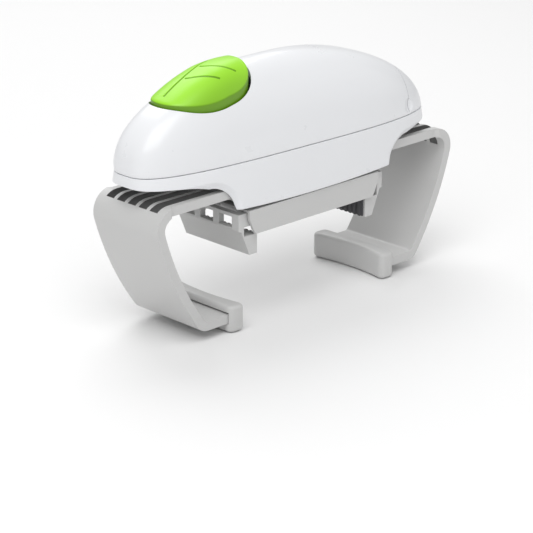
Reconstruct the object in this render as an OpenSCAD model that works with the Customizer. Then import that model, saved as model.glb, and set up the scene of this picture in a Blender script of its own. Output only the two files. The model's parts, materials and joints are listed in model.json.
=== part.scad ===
// Electric jar opener: two-shell housing, leaf-shaped start button, two hooked jar arms,
// a turning tray with two lid jaws, and the geared drive that moves them.
// Millimetres, +Z up. X runs along the body, battery end at +X. The jar pads stand on z = 0.

/* [Body] */
// Middle of the body's plan along X
body_cx = -5.3; // [-12:0.1:0]
// Half the body's length at the parting line
body_half_l = 94.4; // [90:0.2:98]
// Half the body's width at the parting line
body_half_w = 25.4; // [24.6:0.1:28]
// Squareness of the body's plan (2 is an ellipse)
plan_power = 3.15; // [2.8:0.05:3.6]
// How much wider the plan grows towards the battery end
egg = 0.13; // [0.08:0.01:0.16]
// Height of the parting line above the pads' undersides
parting_z = 82.5; // [82.3:0.1:83]
// Height of the dome above the parting line
dome_h = 41.4; // [40:0.2:46]
// How far the dome's top leans towards the button end
dome_lean = 6.3; // [4:0.1:8]
// Wall of the upper shell
upper_wall = 2.2; // [1.8:0.1:2.6]
// Wall of the lower shell
lower_wall = 1.8; // [1.4:0.1:2]
// Gap between the two shells
seam = 0.3; // [0.2:0.05:0.4]

/* [Skirts] */
// Lowest height of the skirts
skirt_z = 58.7; // [58.6:0.1:59.4]
// How much the skirts' lower edge rises by the corner
skirt_rise = 1.6; // [0.5:0.1:3]
// Squareness of the plan at the skirts' lower edge
skirt_power = 4.5; // [4:0.1:5]
// Middle of the arch's curve, from the body's cross line
arch_x = 66; // [65:0.5:67]
// Height of the middle of the arch's curve
arch_z = 58; // [57.8:0.1:58.6]
// Radius of the arch over the arms
arch_r = 15.1; // [15:0.1:15.6]
// Rise of the lower edge from the arch to the ends
end_rise = 3.9; // [3:0.1:4.4]
// Depth of the bevel round the arch
arch_bevel = 0.9; // [0.4:0.1:1]
// Height of the bevel round the arch
bevel_h = 4; // [3:0.5:5]
// Extra thickness of the wall at the arch's edge
arch_lip = 0.9; // [0.5:0.1:1]

/* [Button] */
// Tip of the leaf-shaped button
leaf_tip_x = -79.8; // [-82:0.2:-77]
// Widest place of the leaf
leaf_mid_x = -50; // [-53:0.5:-48]
// Blunt end of the leaf
leaf_end_x = -30; // [-31:0.2:-28]
// Space from the leaf's widest place to the body's side face
leaf_side = 8.5; // [8.4:0.1:10]
// Height of the button's edge above the dome
leaf_proud = 3.2; // [2.4:0.1:3.6]
// Extra height in the middle of the button
leaf_crown = 0.8; // [0.5:0.1:1.4]
// Depth of the button's wall under the dome
leaf_sink = 4; // [3:0.2:5]
// Gap round the button
leaf_gap = 0.9; // [0.6:0.1:1.2]
// Travel of the button
press = 2; // [1:0.1:2]

/* [Battery end] */
// Where the battery cover starts
cover_x = 67.8; // [66:0.2:72]
// Diameter of a cell
cell_d = 14.2; // [14:0.1:14.5]
// Length of a cell, its button end included
cell_l = 50; // [49.5:0.1:50.5]

/* [Jar arms] */
// Thickness of the arms
arm_t = 4.5; // [4:0.1:4.8]
// Height of the arms' top face
arm_top_z = 70; // [69.8:0.1:70.1]
// Space from the body's side face to an arm's plate
plate_gap = 4.6; // [4.4:0.1:5.2]
// How much further out than its plate a leg reaches, each side
leg_step = 1.8; // [1:0.1:2.6]
// Inner end of an arm's plate
plate_end_x = 50; // [48:0.5:52]
// Radius of the arm's upper bend
bend_r = 10.5; // [9:0.5:12]
// Radius of the leg's long curve
leg_r = 157; // [150:1:165]
// Furthest reach of the legs from the cross line
leg_reach = 105.4; // [104.4:0.1:106.4]
// Centre of the leg's long curve, height
leg_cz = 99.8; // [98:0.1:101]
// Radius of the corner above the tongue
corner_r = 7; // [6:0.5:8]
// Height of the tongue's underside
tongue_z = 4.7; // [4.2:0.1:5]
// Width of a rib between two slots
rib_w = 2.2; // [2:0.1:2.4]
// Width of the side rails
rail_w = 3; // [2.4:0.1:3.4]

/* [Jar pads] */
// Half the opening between the pads' corners
pad_x = 47; // [46:0.5:48]
// Thickness of a pad at its corners
pad_t = 10; // [9:0.5:11]
// How much further out than its leg a pad reaches, each side
pad_over = 2.4; // [1.4:0.2:3.4]
// Height of a pad
pad_h = 13.3; // [12.5:0.1:14]
// Radius of a pad's upright corners
pad_round = 2.6; // [1.6:0.2:3.2]
// Hollow of the gripping face
pad_hollow = 3; // [1:0.5:3]

/* [Turning tray] */
// Half the tray's length at its top
tray_half_l = 44; // [42:0.5:44.5]
// How much shorter the tray is at its bottom, each end
tray_rake = 3; // [1:0.5:4]
// How far the tray's sides stand inside the body's width
tray_inset = 0.9; // [0.4:0.1:1.2]
// Wall of the tray
tray_wall = 1.5; // [1.2:0.1:1.6]
// Height of the tray's underside
tray_z = 46; // [45.9:0.1:46.1]
// Height of the tray's top face
tray_top_z = 58.2; // [58:0.1:58.3]
// Radius of the hub that carries the tray
hub_r = 15; // [14:0.5:16]

/* [Lid jaws] */
// Half the opening between the lid jaws
jaw_x = 35.5; // [34:0.5:37]
// Outer face of a jaw's wall
jaw_wall_x = 49; // [48:0.2:49.5]
// Thickness of a jaw's wall
jaw_wall_t = 3.5; // [3:0.1:3.6]
// Height of the jaws' undersides
jaw_z = 35.4; // [34:0.2:37]
// Top of the lip under the tray
lip_z = 45.3; // [44.5:0.1:45.5]
// Space from a jaw's end to the tray's side wall
jaw_gap = 0.8; // [0.6:0.1:1.4]
// Thickness of the rubber strip on a jaw
strip_t = 1.6; // [1:0.1:2]

/* [Drive] */
// Diameter of the motor
motor_d = 24; // [23:0.5:24.5]
// Length of the motor's can
motor_l = 25; // [24:0.5:26]
// Thickness of the frame plate
frame_t = 2; // [1.6:0.1:2.2]
// Thickness of the floor plate
floor_t = 3; // [2.6:0.1:3]

/* [Clearances] */
// Gap between pieces that slide or turn past each other
run = 0.3; // [0.25:0.05:0.4]
// Radial gap between a shaft and its bore
bore_gap = 0.1; // [0.08:0.01:0.15]
// Backlash of the gears and racks
backlash = 0.16; // [0.12:0.01:0.2]

/* [Hidden] */

$fn = 48;
dome_rings = 11;       // rings up the dome
skirt_rings = 6;       // rings down the lower shell
eps = 0.01;            // overlap of cutting shapes
far = 200;             // larger than the object

white = [0.94, 0.95, 0.96];
grey = [0.74, 0.75, 0.76];
dark = [0.16, 0.16, 0.17];
lime = [0.55, 0.84, 0.13];
steel = [0.66, 0.67, 0.69];
nylon = [0.90, 0.88, 0.80];

// Half widths that follow the body's width
plate_half_w = body_half_w - plate_gap;
leg_half_w = plate_half_w + leg_step;
pad_half_w = leg_half_w + pad_over;
leaf_half_w = body_half_w - leaf_side;
floor_gap = 1;         // space from the floor plate to the skirts at the body's cross line
floor_half_w = body_half_w - lower_wall - floor_gap;
tray_half_w = body_half_w - tray_inset;
jaw_half_w = tray_half_w - tray_wall - jaw_gap;

// Heights of the layers, from the arms up
arm_bottom_z = arm_top_z - arm_t;
floor_z = 60;
hub_top_z = floor_z + floor_t + 1.8;
ring_floor_z = arm_top_z + 0.5;
carrier_z = ring_floor_z + 1.4;
planet_z = carrier_z + 1.2;
planet_t = 2.9;
input_z = planet_z + planet_t + 0.5;
input_t = 2.2;
wheel_z = input_z + input_t + 0.4;
wheel_t = 2.2;
frame_z = parting_z - seam / 2;
frame_top_z = frame_z + frame_t;

// Modules and teeth of the gears, and slots in an arm's plate
arm_m = 1;
arm_teeth = 14;
train_m = 0.8;
lid_teeth = 24;
sun_teeth = 12;
ring_teeth = 3 * sun_teeth;
motor_m = 0.5;
pinion_teeth = 10;
wheel_teeth = 40;
slots = 5;

// Gear radii and axis places
arm_pinion_r = arm_m * arm_teeth / 2;
lid_pinion_r = train_m * lid_teeth / 2;
sun_r = train_m * sun_teeth / 2;
ring_r = train_m * ring_teeth / 2;
small_r = train_m * pinion_teeth / 2;
large_r = motor_m * wheel_teeth / 2;
motor_pinion_r = motor_m * pinion_teeth / 2;
planet_orbit = 2 * sun_r;
inter_x = -(ring_r + small_r);
motor_x = inter_x - large_r - motor_pinion_r;
shaft_r = 3.5;
motor_shaft_r = 0.9;
pin_r = 1.2;
sun_axle_r = 1.6;

// ---------- curves ----------

function spow(v, e) = sign(v) * pow(abs(v), e);
function unit_plan(a, n) =
    let (r = pow(pow(abs(cos(a)), n) + pow(abs(sin(a)), n), -1 / n)) [r * cos(a), r * sin(a)];
function plan_pt(a, half_l, half_w, n, k) =
    let (u = unit_plan(a, n)) [half_l * u[0], half_w * (1 + k * u[0]) * u[1]];
function arc(cx, cy, r, a0, a1, n) =
    [for (i = [0:n]) let (a = a0 + (a1 - a0) * i / n) [cx + r * cos(a), cy + r * sin(a)]];
function reversed(list) = [for (i = [len(list) - 1:-1:0]) list[i]];
function round_rect(w, h, r, n = 4) = concat(
    arc(w / 2 - r, h / 2 - r, r, 0, 90, n), arc(r - w / 2, h / 2 - r, r, 90, 180, n),
    arc(r - w / 2, r - h / 2, r, 180, 270, n), arc(w / 2 - r, r - h / 2, r, 270, 360, n));

// Places round the shells, as angles: even at the ends, and closest together round the arches
foot_x = arch_x - sqrt(pow(arch_r, 2) - pow(skirt_z + skirt_rise - arch_z, 2));
function angle_at(x) = let (u = (x - body_cx) / body_half_l)
    atan2(pow(1 - pow(abs(u), plan_power), 1 / plan_power), u);
beyond_arch = body_cx + body_half_l - arch_x;
arch_stations = concat([for (k = [0.606, 0.303]) arch_x + k * beyond_arch],
    [for (b = [90:-13:25]) arch_x - arch_r * cos(b)],
    [foot_x, foot_x - 3, foot_x - 10, foot_x - 20, foot_x - 30, foot_x - 40]);
end_station = 0.8655;
half_angles = concat([for (a = [0:9:36]) a], [for (x = arch_stations) angle_at(x)], [angle_at(0)],
    [for (x = reversed(arch_stations)) angle_at(-x)],
    [angle_at(body_cx - end_station * body_half_l)], [for (a = [144:9:171]) a]);
shell_angles = concat(half_angles, [180], [for (i = [len(half_angles) - 1:-1:1]) 360 - half_angles[i]]);
shell_n = len(shell_angles);

// One ring of the dome, w inside its outer face; v is 0 at the parting line and 90 at the top
function dome_ring(v, w) = [for (a = shell_angles)
    let (p = plan_pt(a, (body_half_l - w) * cos(v), (body_half_w - w) * cos(v), plan_power, egg * cos(v)))
    [body_cx - dome_lean * sin(v) + p[0], p[1], parting_z + seam / 2 + (dome_h - w - seam / 2) * sin(v)]];
function dome_top(w) = [body_cx - dome_lean, 0, parting_z + dome_h - w];

// Height of the dome's face over a place, w inside the outer face
function dome_sin(x, y, w, turns = 8, s = 0.8) = turns == 0 ? s :
    let (px = (x - body_cx + dome_lean * s) / (body_half_l - w),
        py = y / ((body_half_w - w) * (1 + egg * px)),
        r = pow(pow(abs(px), plan_power) + pow(abs(py), plan_power), 1 / plan_power))
    dome_sin(x, y, w, turns - 1, sqrt(max(0.0004, 1 - r * r)));
function dome_z(x, y, w = 0) = parting_z + (dome_h - w) * dome_sin(x, y, w);

// Half the body's width at the parting line, over its length
function shell_half_w(x) = let (u = (x - body_cx) / body_half_l)
    body_half_w * (1 + egg * u) * pow(1 - pow(abs(u), plan_power), 1 / plan_power);

// Lower edge of the lower shell, s from the body's cross line
function edge_z(s) = s < foot_x ? skirt_z + skirt_rise * pow(s / foot_x, 2)
    : s < arch_x ? arch_z + sqrt(max(0, arch_r * arch_r - pow(s - arch_x, 2)))
    : arch_z + arch_r + end_rise * (1 - exp(-(s - arch_x) / 10));
function lower_pt(a, z, w) = let (
    t = min(1, (parting_z - z) / (parting_z - skirt_z)),
    n = plan_power + (skirt_power - plan_power) * t,
    p = plan_pt(a, body_half_l - w, body_half_w - w, n, egg * (1 - 0.7 * t)))
    [body_cx + p[0], p[1], z];
// How far inside the arch's crease a point lies: 0 above the bevel, 1 at the edge
function bevel_at(s, z) = s < foot_x - bevel_h ? 0
    : min(1, max(0, (arch_r + bevel_h - norm([min(0, s - arch_x), z - arch_z])) / bevel_h));
function lower_ring(f, w, bevelled) = [for (a = shell_angles) let (
    s = abs(lower_pt(a, parting_z, 0)[0]),
    z0 = parting_z - seam / 2,
    z = z0 + (edge_z(s) - z0) * f,
    more = bevel_at(s, z) * (bevelled ? arch_bevel : arch_lip))
    lower_pt(a, z, w + more)];

// ---------- solids from rings ----------

function ring_faces(n, a, b) = [for (i = [0:n - 1]) let (j = (i + 1) % n)
    each [[a + i, b + j, a + j], [a + i, b + i, b + j]]];
function fan_faces(n, a, tip) = [for (i = [0:n - 1]) [a + i, tip, a + (i + 1) % n]];
function flipped(faces) = [for (f = faces) reversed(f)];

// A closed tube wall from rings that run up the outside and back down the inside
module ring_loop(rings) {
    n = len(rings[0]);
    m = len(rings);
    polyhedron(points = [for (r = rings) each r],
        faces = [for (k = [0:m - 1]) each ring_faces(n, n * k, n * ((k + 1) % m))], convexity = 6);
}

// A hollow cap: rings up the outside to a top point, and the same inside
module ring_cap(outer, outer_top, inner, inner_top) {
    n = len(outer[0]);
    m = len(outer);
    q = len(inner);
    base = n * m + 1;
    polyhedron(points = concat([for (r = outer) each r], [outer_top], [for (r = inner) each r], [inner_top]),
        faces = concat(
            [for (k = [0:m - 2]) each ring_faces(n, n * k, n * (k + 1))],
            fan_faces(n, n * (m - 1), n * m),
            flipped([for (k = [0:q - 2]) each ring_faces(n, base + n * k, base + n * (k + 1))]),
            flipped(fan_faces(n, base + n * (q - 1), base + n * q)),
            flipped(ring_faces(n, 0, base))), convexity = 6);
}

module dome_shell(wall) {
    outer = [for (k = [0:dome_rings - 1]) dome_ring(90 * k / dome_rings, 0)];
    inner = [for (k = [0:dome_rings - 1]) dome_ring(90 * k / dome_rings, wall)];
    ring_cap(outer, dome_top(0), inner, dome_top(wall));
}

// A tube along a list of points, turned square to each stretch
module tube(path, r, sides = 8) {
    last = len(path) - 1;
    rings = [for (i = [0:last]) let (
        d = path[min(i + 1, last)] - path[max(i - 1, 0)],
        t = d / norm(d),
        side = abs(t[2]) > 0.9 ? [1, 0, 0] : [0, 0, 1],
        u = cross(t, side) / norm(cross(t, side)),
        v = cross(t, u))
        [for (k = [0:sides - 1]) path[i] + r * (cos(360 * k / sides) * u + sin(360 * k / sides) * v)]];
    polyhedron(points = concat([for (r = rings) each r], [path[0], path[last]]),
        faces = concat([for (k = [0:last - 1]) each ring_faces(sides, sides * k, sides * (k + 1))],
            flipped(fan_faces(sides, 0, sides * (last + 1))),
            fan_faces(sides, sides * last, sides * (last + 1) + 1)));
}

// ---------- gears ----------

pressure = 25;
add_k = 0.8;
ded_k = 1.1;
function inv_pt(rb, u) = rb * [cos(u) + u * PI / 180 * sin(u), sin(u) - u * PI / 180 * cos(u)];
function inv_at(rb, r) = r <= rb ? 0 : sqrt(pow(r / rb, 2) - 1) * 180 / PI;
function polar(p) = [norm(p), atan2(p[1], p[0])];

// Outline of a gear; play is taken off each tooth, and is negative for the space inside a ring gear
function gear_outline(m, teeth, play, add = add_k, ded = ded_k) = let (
    rp = m * teeth / 2,
    rb = rp * cos(pressure),
    r0 = rp - ded * m,
    r1 = rp + add * m,
    start = max(rb, r0),
    half = 90 / teeth - play / (2 * rp) * 180 / PI,
    at_pitch = polar(inv_pt(rb, inv_at(rb, rp)))[1],
    flank = [for (i = [0:4]) let (r = start + (r1 - start) * i / 4, q = polar(inv_pt(rb, inv_at(rb, r))))
        [r, q[1] - at_pitch - half]],
    low = r0 < rb ? [[r0, flank[0][1]]] : [],
    side = concat(low, flank),
    tooth = concat(side, [for (q = reversed(side)) [q[0], -q[1]]]))
    [for (k = [0:teeth - 1], q = tooth) let (a = q[1] + 360 * k / teeth) [q[0] * cos(a), q[0] * sin(a)]];

module spur(m, teeth, t, bore, turn = 0) {
    linear_extrude(t)
        difference() {
            rotate(turn) polygon(gear_outline(m, teeth, backlash));
            circle(bore);
        }
}

// Rack along X with its teeth pointing to -Y; x0 and x1 are its ends, and the pitch line is y = 0
module rack(m, x0, x1, back, t, shift) {
    pitch = PI * m;
    tan_p = tan(pressure);
    top = pitch / 4 - backlash / 2 - add_k * m * tan_p;
    root = pitch / 4 - backlash / 2 + ded_k * m * tan_p;
    first = ceil((x0 + root - shift * pitch) / pitch);
    last = floor((x1 - root - shift * pitch) / pitch);
    teeth = [for (k = [last:-1:first]) let (c = (k + shift) * pitch)
        each [[c + root, ded_k * m], [c + top, -add_k * m], [c - top, -add_k * m], [c - root, ded_k * m]]];
    linear_extrude(t) polygon(concat([[x0, ded_k * m], [x0, back], [x1, back], [x1, ded_k * m]], teeth));
}

module tube_z(r1, r0, h) {
    linear_extrude(h) difference() { circle(r1); circle(r0); }
}

// ---------- housing ----------

// Bosses for the housing screws, button end first: place along the body, and distance inside its side
boss_xs = [body_cx - body_half_l + 33.7, cover_x - 9.8];
boss_in = [4.85, 6.25];
boss_places = [for (k = [0, 1], side = [1, -1])
    [boss_xs[k], side * (shell_half_w(boss_xs[k]) - boss_in[k])]];
boss_r = 3;
screw_r = 1.3;
lug_z = parting_z - 4.1;

module upper_housing() {
    color(white)
    difference() {
        union() {
            intersection() {
                dome_shell(upper_wall);
                translate([cover_x - seam / 2 - 2 * far, -far, 0]) cube([2 * far, 2 * far, far]);
            }
            for (p = boss_places) upper_boss(p);
        }
        translate([0, 0, parting_z + 10]) linear_extrude(far) polygon(leaf(leaf_gap));
        for (side = [-1, 1]) thumb_notch(side);
    }
}

// Boss on the dome's side wall that takes a housing screw
module upper_boss(p) {
    rise = 7;
    web = 2;
    narrowing = sqrt(1 - pow((frame_top_z + rise - parting_z) / dome_h, 2));
    reach = shell_half_w(p[0] + sign(p[0]) * web / 2) * narrowing - upper_wall / 2 - abs(p[1]);
    translate([0, 0, frame_top_z]) linear_extrude(rise) difference() {
        union() {
            translate(p) circle(boss_r);
            translate([p[0] - web / 2, p[1] > 0 ? p[1] : p[1] - reach]) square([web, reach]);
        }
        translate(p) circle(screw_r + bore_gap);
    }
}

// Finger notch across the seam of the battery cover
module thumb_notch(side) {
    translate([cover_x, side * (body_half_w + 1.2), parting_z + 5.2]) sphere(5.4);
}

module battery_cover() {
    color(white) {
        difference() {
            intersection() {
                dome_shell(upper_wall);
                translate([cover_x + seam / 2, -far, 0]) cube([far, 2 * far, far]);
            }
            for (side = [-1, 1]) thumb_notch(side);
        }
        for (side = [-1, 1]) cover_tongue(side);
    }
}

// Tongue of the cover that slides in along the frame plate, with its root in the cover's wall
module cover_tongue(side) {
    reach = 6;
    width = 4;
    thickness = 1.2;
    root = [1.5, 6];
    inner_y = shell_half_w(cover_x) - tongue_in - width / 2;
    wall_y = [for (x = root) shell_half_w(cover_x + x) - upper_wall + 0.5];
    outline = [[-reach, inner_y], [root[1], inner_y], [root[1], wall_y[1]], [root[0], wall_y[0]],
        [root[0], inner_y + width], [-reach, inner_y + width]];
    translate([cover_x, 0, frame_top_z + run]) linear_extrude(thickness)
        polygon([for (p = outline) [p[0], side * p[1]]]);
}
tongue_in = 5.2;

module lower_housing() {
    color(white) {
        outer = [for (k = [skirt_rings:-1:0]) lower_ring(k / skirt_rings, 0, true)];
        inner = [for (k = [0:skirt_rings]) lower_ring(k / skirt_rings, lower_wall, false)];
        ring_loop(concat(outer, inner));
        for (p = boss_places) lower_lug(p);
    }
}

// Lug inside the lower shell that takes a housing screw
module lower_lug(p) {
    reach = shell_half_w(p[0] + sign(p[0]) * boss_r) - lower_wall / 2 - abs(p[1]);
    translate([0, 0, lug_z]) linear_extrude(frame_z - lug_z) difference() {
        union() {
            translate(p) circle(boss_r);
            translate([p[0] - boss_r, p[1] > 0 ? p[1] : p[1] - reach]) square([2 * boss_r, reach]);
        }
        translate(p) circle(screw_r + bore_gap);
    }
}

// ---------- start button ----------

leaf_n = 48;
// Half the leaf's width over its length: an egg whose tip is drawn to a point
function falling(u, n, k) = pow(max(0, 1 - pow(u, n)), k);
function leaf_w(x) = let (
    to_tip = x < leaf_mid_x,
    u = (x - leaf_mid_x) / ((to_tip ? leaf_tip_x : leaf_end_x) - leaf_mid_x))
    leaf_half_w * (to_tip ? falling(u, 2.05, 0.467) * falling(u, 12, 0.6) : falling(u, 3, 0.3));
function leaf_x(a) = cos(a) > 0 ? leaf_mid_x + (leaf_end_x - leaf_mid_x) * cos(a)
    : leaf_mid_x + (leaf_mid_x - leaf_tip_x) * cos(a);
// Outline of the leaf, gap outside the button, size times as large
function leaf(gap = 0, size = 1) = let (cx = leaf_mid_x, g = gap * 1.1) [for (i = [0:leaf_n - 1])
    let (a = 360 * i / leaf_n, x = leaf_x(a), w = leaf_w(x))
    [cx + (x - cx) * size + g * cos(a), (a < 180 ? 1 : -1) * w * size + g * sin(a)]];
// Ring of the leaf laid over the dome, w inside its face and up above it
function leaf_ring(gap, size, w, up) = [for (p = leaf(gap, size)) [p[0], p[1], dome_z(p[0], p[1], w) + up]];

button_x = motor_x - motor_d / 2 - 9.1;
board_z = frame_top_z + 17.05;
boss_z = board_z + 11.2;
stem_z = board_z + 9.5;

module start_button() {
    edge = 0.6;
    rows = [for (s = [1, 0.97, 0.8, 0.55, 0.28])
        leaf_ring(0, s, 0, leaf_proud + leaf_crown * (1 - s * s) - (s == 1 ? edge : 0))];
    under = [for (s = [1, 0.6, 0.3]) leaf_ring(0, s, 0, -leaf_sink)];
    n = leaf_n;
    m = len(rows);
    q = len(under);
    base = n * m + 1;
    top = [leaf_mid_x, 0, dome_z(leaf_mid_x, 0) + leaf_proud + leaf_crown];
    low = [leaf_mid_x, 0, dome_z(leaf_mid_x, 0) - leaf_sink];
    color(lime) {
        polyhedron(points = concat([for (r = rows) each r], [top], [for (r = under) each r], [low]),
            faces = concat(
                [for (k = [0:m - 2]) each ring_faces(n, n * k, n * (k + 1))],
                fan_faces(n, n * (m - 1), n * m),
                flipped([for (k = [0:q - 2]) each ring_faces(n, base + n * k, base + n * (k + 1))]),
                flipped(fan_faces(n, base + n * (q - 1), base + n * q)),
                flipped(ring_faces(n, 0, base))), convexity = 4);
        translate([button_x, 0, boss_z])
            cylinder(r = spring_r + 0.8, h = dome_z(button_x, 0) - leaf_sink + 1 - boss_z);
        translate([button_x, 0, stem_z]) cylinder(r = 2.4, h = boss_z - stem_z + eps);
    }
}

module button_bezel() {
    under = 1.2;
    thickness = 1.6;
    inner = 0.5;
    outer = inner + 1.2;
    color(dark)
        ring_loop([for (q = [[outer, thickness], [outer, 0], [inner, 0], [inner, thickness]])
            leaf_ring(q[0], 1, upper_wall, -under - q[1])]);
}

board_t = 1.6;
board_l = 28;
board_x = motor_x - motor_d / 2 - 4.1 - board_l / 2;
board_w = 23;
post_in = 2.5;         // from the board's edges to its posts
spring_r = 5.6;
spring_wire = 0.7;

module button_spring() {
    color(steel) translate([button_x, 0, board_z + board_t])
        tube_z(spring_r, spring_r - spring_wire, boss_z - board_z - board_t);
}

module start_switch() {
    color(dark) translate([button_x - 3, -3, board_z + board_t]) cube([6, 6, 3.6]);
    color(lime) translate([button_x, 0, board_z + board_t + 3.6]) cylinder(r = 1.7, h = 2);
}

module circuit_board() {
    color([0.10, 0.42, 0.24]) difference() {
        translate([board_x, 0, board_z]) linear_extrude(board_t) polygon(round_rect(board_l, board_w, 2));
        for (p = post_places) translate([p[0], p[1], board_z - 1]) cylinder(r = 1, h = 4);
    }
    color(dark) {
        translate([board_x - 9, -5, board_z + board_t]) cube([7, 8, 1.4]);
        translate([board_x - 7, 5.5, board_z + board_t]) cube([5, 4, 2]);
    }
}

post_places = [for (x = [-1, 1], y = [-1, 1])
    [board_x + x * (board_l / 2 - post_in), y * (board_w / 2 - post_in)]];

module board_posts() {
    color(grey) for (p = post_places) {
        translate([p[0], p[1], frame_top_z]) cylinder(r = 2.2, h = board_z - frame_top_z);
        translate([p[0], p[1], board_z - eps]) cylinder(r = 0.9, h = board_t + 0.8);
    }
}

// ---------- frame ----------

// Plan of the shells' inside at the parting line
function inside_plan(gap) = [for (a = shell_angles)
    let (p = plan_pt(a, body_half_l - upper_wall - gap, body_half_w - upper_wall - gap, plan_power, egg))
    [body_cx + p[0], p[1]]];
chassis_x = 14;
chassis_in = 4.6;      // from the floor plate's side to a post
chassis_posts = [for (x = [1, -1], y = [1, -1]) [x * chassis_x, y * (floor_half_w - chassis_in)]];
floor_half_l = 43;
motor_screw_y = motor_d / 3;
motor_hole_r = 3.4;
motor_screw_r = 1.1;
frame_end = 3;         // from the battery cover's seam to the frame plate's end
wire_slots = [body_cx - body_half_l + 15.7, cover_x - 33.8];

module frame_plate() {
    color(grey) difference() {
        translate([0, 0, frame_z]) linear_extrude(frame_t)
            difference() {
                intersection() {
                    polygon(inside_plan(0.5));
                    translate([cover_x - frame_end - far, 0]) square([2 * far, far], center = true);
                }
                for (p = boss_places) translate(p) circle(screw_r + bore_gap);
                for (p = chassis_posts) translate(p) circle(screw_r + bore_gap);
                for (side = [-1, 1]) translate([motor_x, side * motor_screw_y]) circle(motor_screw_r);
                translate([motor_x, 0]) circle(motor_hole_r);
                translate([inter_x, 0]) circle(pin_r);
                circle(sun_axle_r);
                for (x = wire_slots) translate([x, 0]) polygon(round_rect(6, 12, 2));
            }
    }
}

module floor_plate() {
    color(grey) difference() {
        union() {
            translate([0, 0, floor_z]) linear_extrude(floor_t)
                polygon(round_rect(2 * floor_half_l, 2 * floor_half_w, 3));
            for (p = chassis_posts) translate([p[0], p[1], floor_z + floor_t - eps])
                cylinder(r = 2.6, h = frame_z - floor_z - floor_t + eps);
        }
        translate([0, 0, floor_z - 1]) cylinder(r = hub_r + run, h = floor_t + 2);
        for (p = chassis_posts) translate([p[0], p[1], frame_z - frame_screw_l])
            cylinder(r = screw_r, h = frame_screw_l + 1);
    }
}

frame_screw_l = 8;
module frame_screws() {
    color(steel) for (p = chassis_posts) pan_screw([p[0], p[1], frame_top_z], screw_r - eps, frame_screw_l);
}

// Screw with its head's underside at a place, pointing down
module pan_screw(p, r, l) {
    translate(p) {
        translate([0, 0, -l]) cylinder(r = r, h = l);
        cylinder(r = head_k * r, h = head_t);
    }
}
head_k = 1.8;          // a screw head's radius, over the screw's
head_t = 1.5;

housing_screw_l = 12;
module housing_screws() {
    color(steel) for (p = boss_places)
        translate([p[0], p[1], lug_z]) mirror([0, 0, 1]) pan_screw([0, 0, 0], screw_r, housing_screw_l);
}

washer_w = 6;
module thrust_washer() {
    play = 0.2;
    color(nylon) translate([0, 0, tray_top_z + play])
        tube_z(hub_r + washer_w, hub_r + run, floor_z - tray_top_z - play);
}

// ---------- power ----------

cell_floor_t = 2;
cell_wall_t = 1.5;
cell_wall_h = 14;
cell_start = 3.5;      // from the tray's end to the cells
cell_z = frame_top_z + cell_floor_t + 0.2 + cell_d / 2;
cell_x = cover_x - 1.5 - cell_l;
cell_y = cell_d / 2 + 0.4;
cell_tip = 1.4;        // height of a cell's button end
cell_tray_w = 2 * cell_d + 2;

module battery_tray() {
    // Its end is narrower, to pass between two frame screws
    end_w = 2 * (cell_y + 4.6);
    color(dark) translate([cell_x - cell_start, 0, frame_top_z]) {
        translate([cell_start + 0.3, -cell_tray_w / 2, 0]) cube([cell_l + 0.7, cell_tray_w, cell_floor_t]);
        translate([0, -end_w / 2, 0]) cube([cell_start + 1, end_w, cell_floor_t]);
        difference() {
            translate([0, -end_w / 2, 0]) cube([cell_wall_t, end_w, cell_wall_h]);
            for (side = [-1, 1]) translate([-1, side * cell_y, cell_z - frame_top_z])
                rotate([0, 90, 0]) cylinder(r = 1.2, h = 4);
        }
        translate([0, -0.3, 0]) cube([cell_l, 0.6, 9]);
    }
}

module battery_cells() {
    for (side = [-1, 1])
        translate([cell_x + 0.4, side * cell_y, cell_z]) rotate([0, 90, 0]) {
            color([0.20, 0.22, 0.25]) cylinder(r = cell_d / 2, h = cell_l - cell_tip);
            color(steel) translate([0, 0, cell_l - cell_tip - eps]) cylinder(r = 2.7, h = cell_tip);
        }
}

plate_t = 0.5;
plate_w = 8;
plate_h = 10;
module contact_plates() {
    color(steel) for (side = [-1, 1])
        translate([cell_x - 1.6, side * cell_y - plate_w / 2, cell_z - plate_h / 2])
            cube([plate_t, plate_w, plate_h]);
}

contact_r = 3.2;
contact_wire = 0.7;
contact_h = 1.2;
module contact_springs() {
    color(steel) for (side = [-1, 1])
        translate([cell_x - 1, side * cell_y, cell_z]) rotate([0, 90, 0])
            tube_z(contact_r, contact_r - contact_wire, contact_h);
}

module motor() {
    color(steel) translate([motor_x, 0, frame_top_z]) {
        cylinder(r = motor_d / 2, h = motor_l);
        translate([0, 0, motor_l]) cylinder(r = 3, h = 1.2);
    }
    color(steel) translate([motor_x, 0, wheel_z - 0.4])
        cylinder(r = motor_shaft_r, h = frame_top_z - wheel_z + 0.4 + eps);
    color(dark) for (side = [-1, 1])
        translate([motor_x - 4, side * 6 - 1, frame_top_z + motor_l]) cube([2, 2, 1.6]);
}

module motor_screws() {
    color(steel) for (side = [-1, 1])
        translate([motor_x, side * motor_screw_y, frame_z]) mirror([0, 0, 1])
            pan_screw([0, 0, 0], motor_screw_r - eps, frame_t);
}

// ---------- gear train ----------

module motor_pinion() {
    color(nylon) translate([motor_x, 0, wheel_z])
        spur(motor_m, pinion_teeth, wheel_t + 0.3, motor_shaft_r + bore_gap, 180 / pinion_teeth);
}

module intermediate_gear() {
    color(nylon) translate([inter_x, 0, 0]) {
        translate([0, 0, input_z - 0.1])
            spur(train_m, pinion_teeth, wheel_z - input_z + 0.1 + eps, pin_r + bore_gap, 180 / pinion_teeth);
        translate([0, 0, wheel_z]) spur(motor_m, wheel_teeth, wheel_t, pin_r + bore_gap);
    }
}

module intermediate_axle() {
    color(steel) translate([inter_x, 0, input_z - 0.1])
        cylinder(r = pin_r - eps, h = frame_top_z - input_z + 0.1);
}

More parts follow.
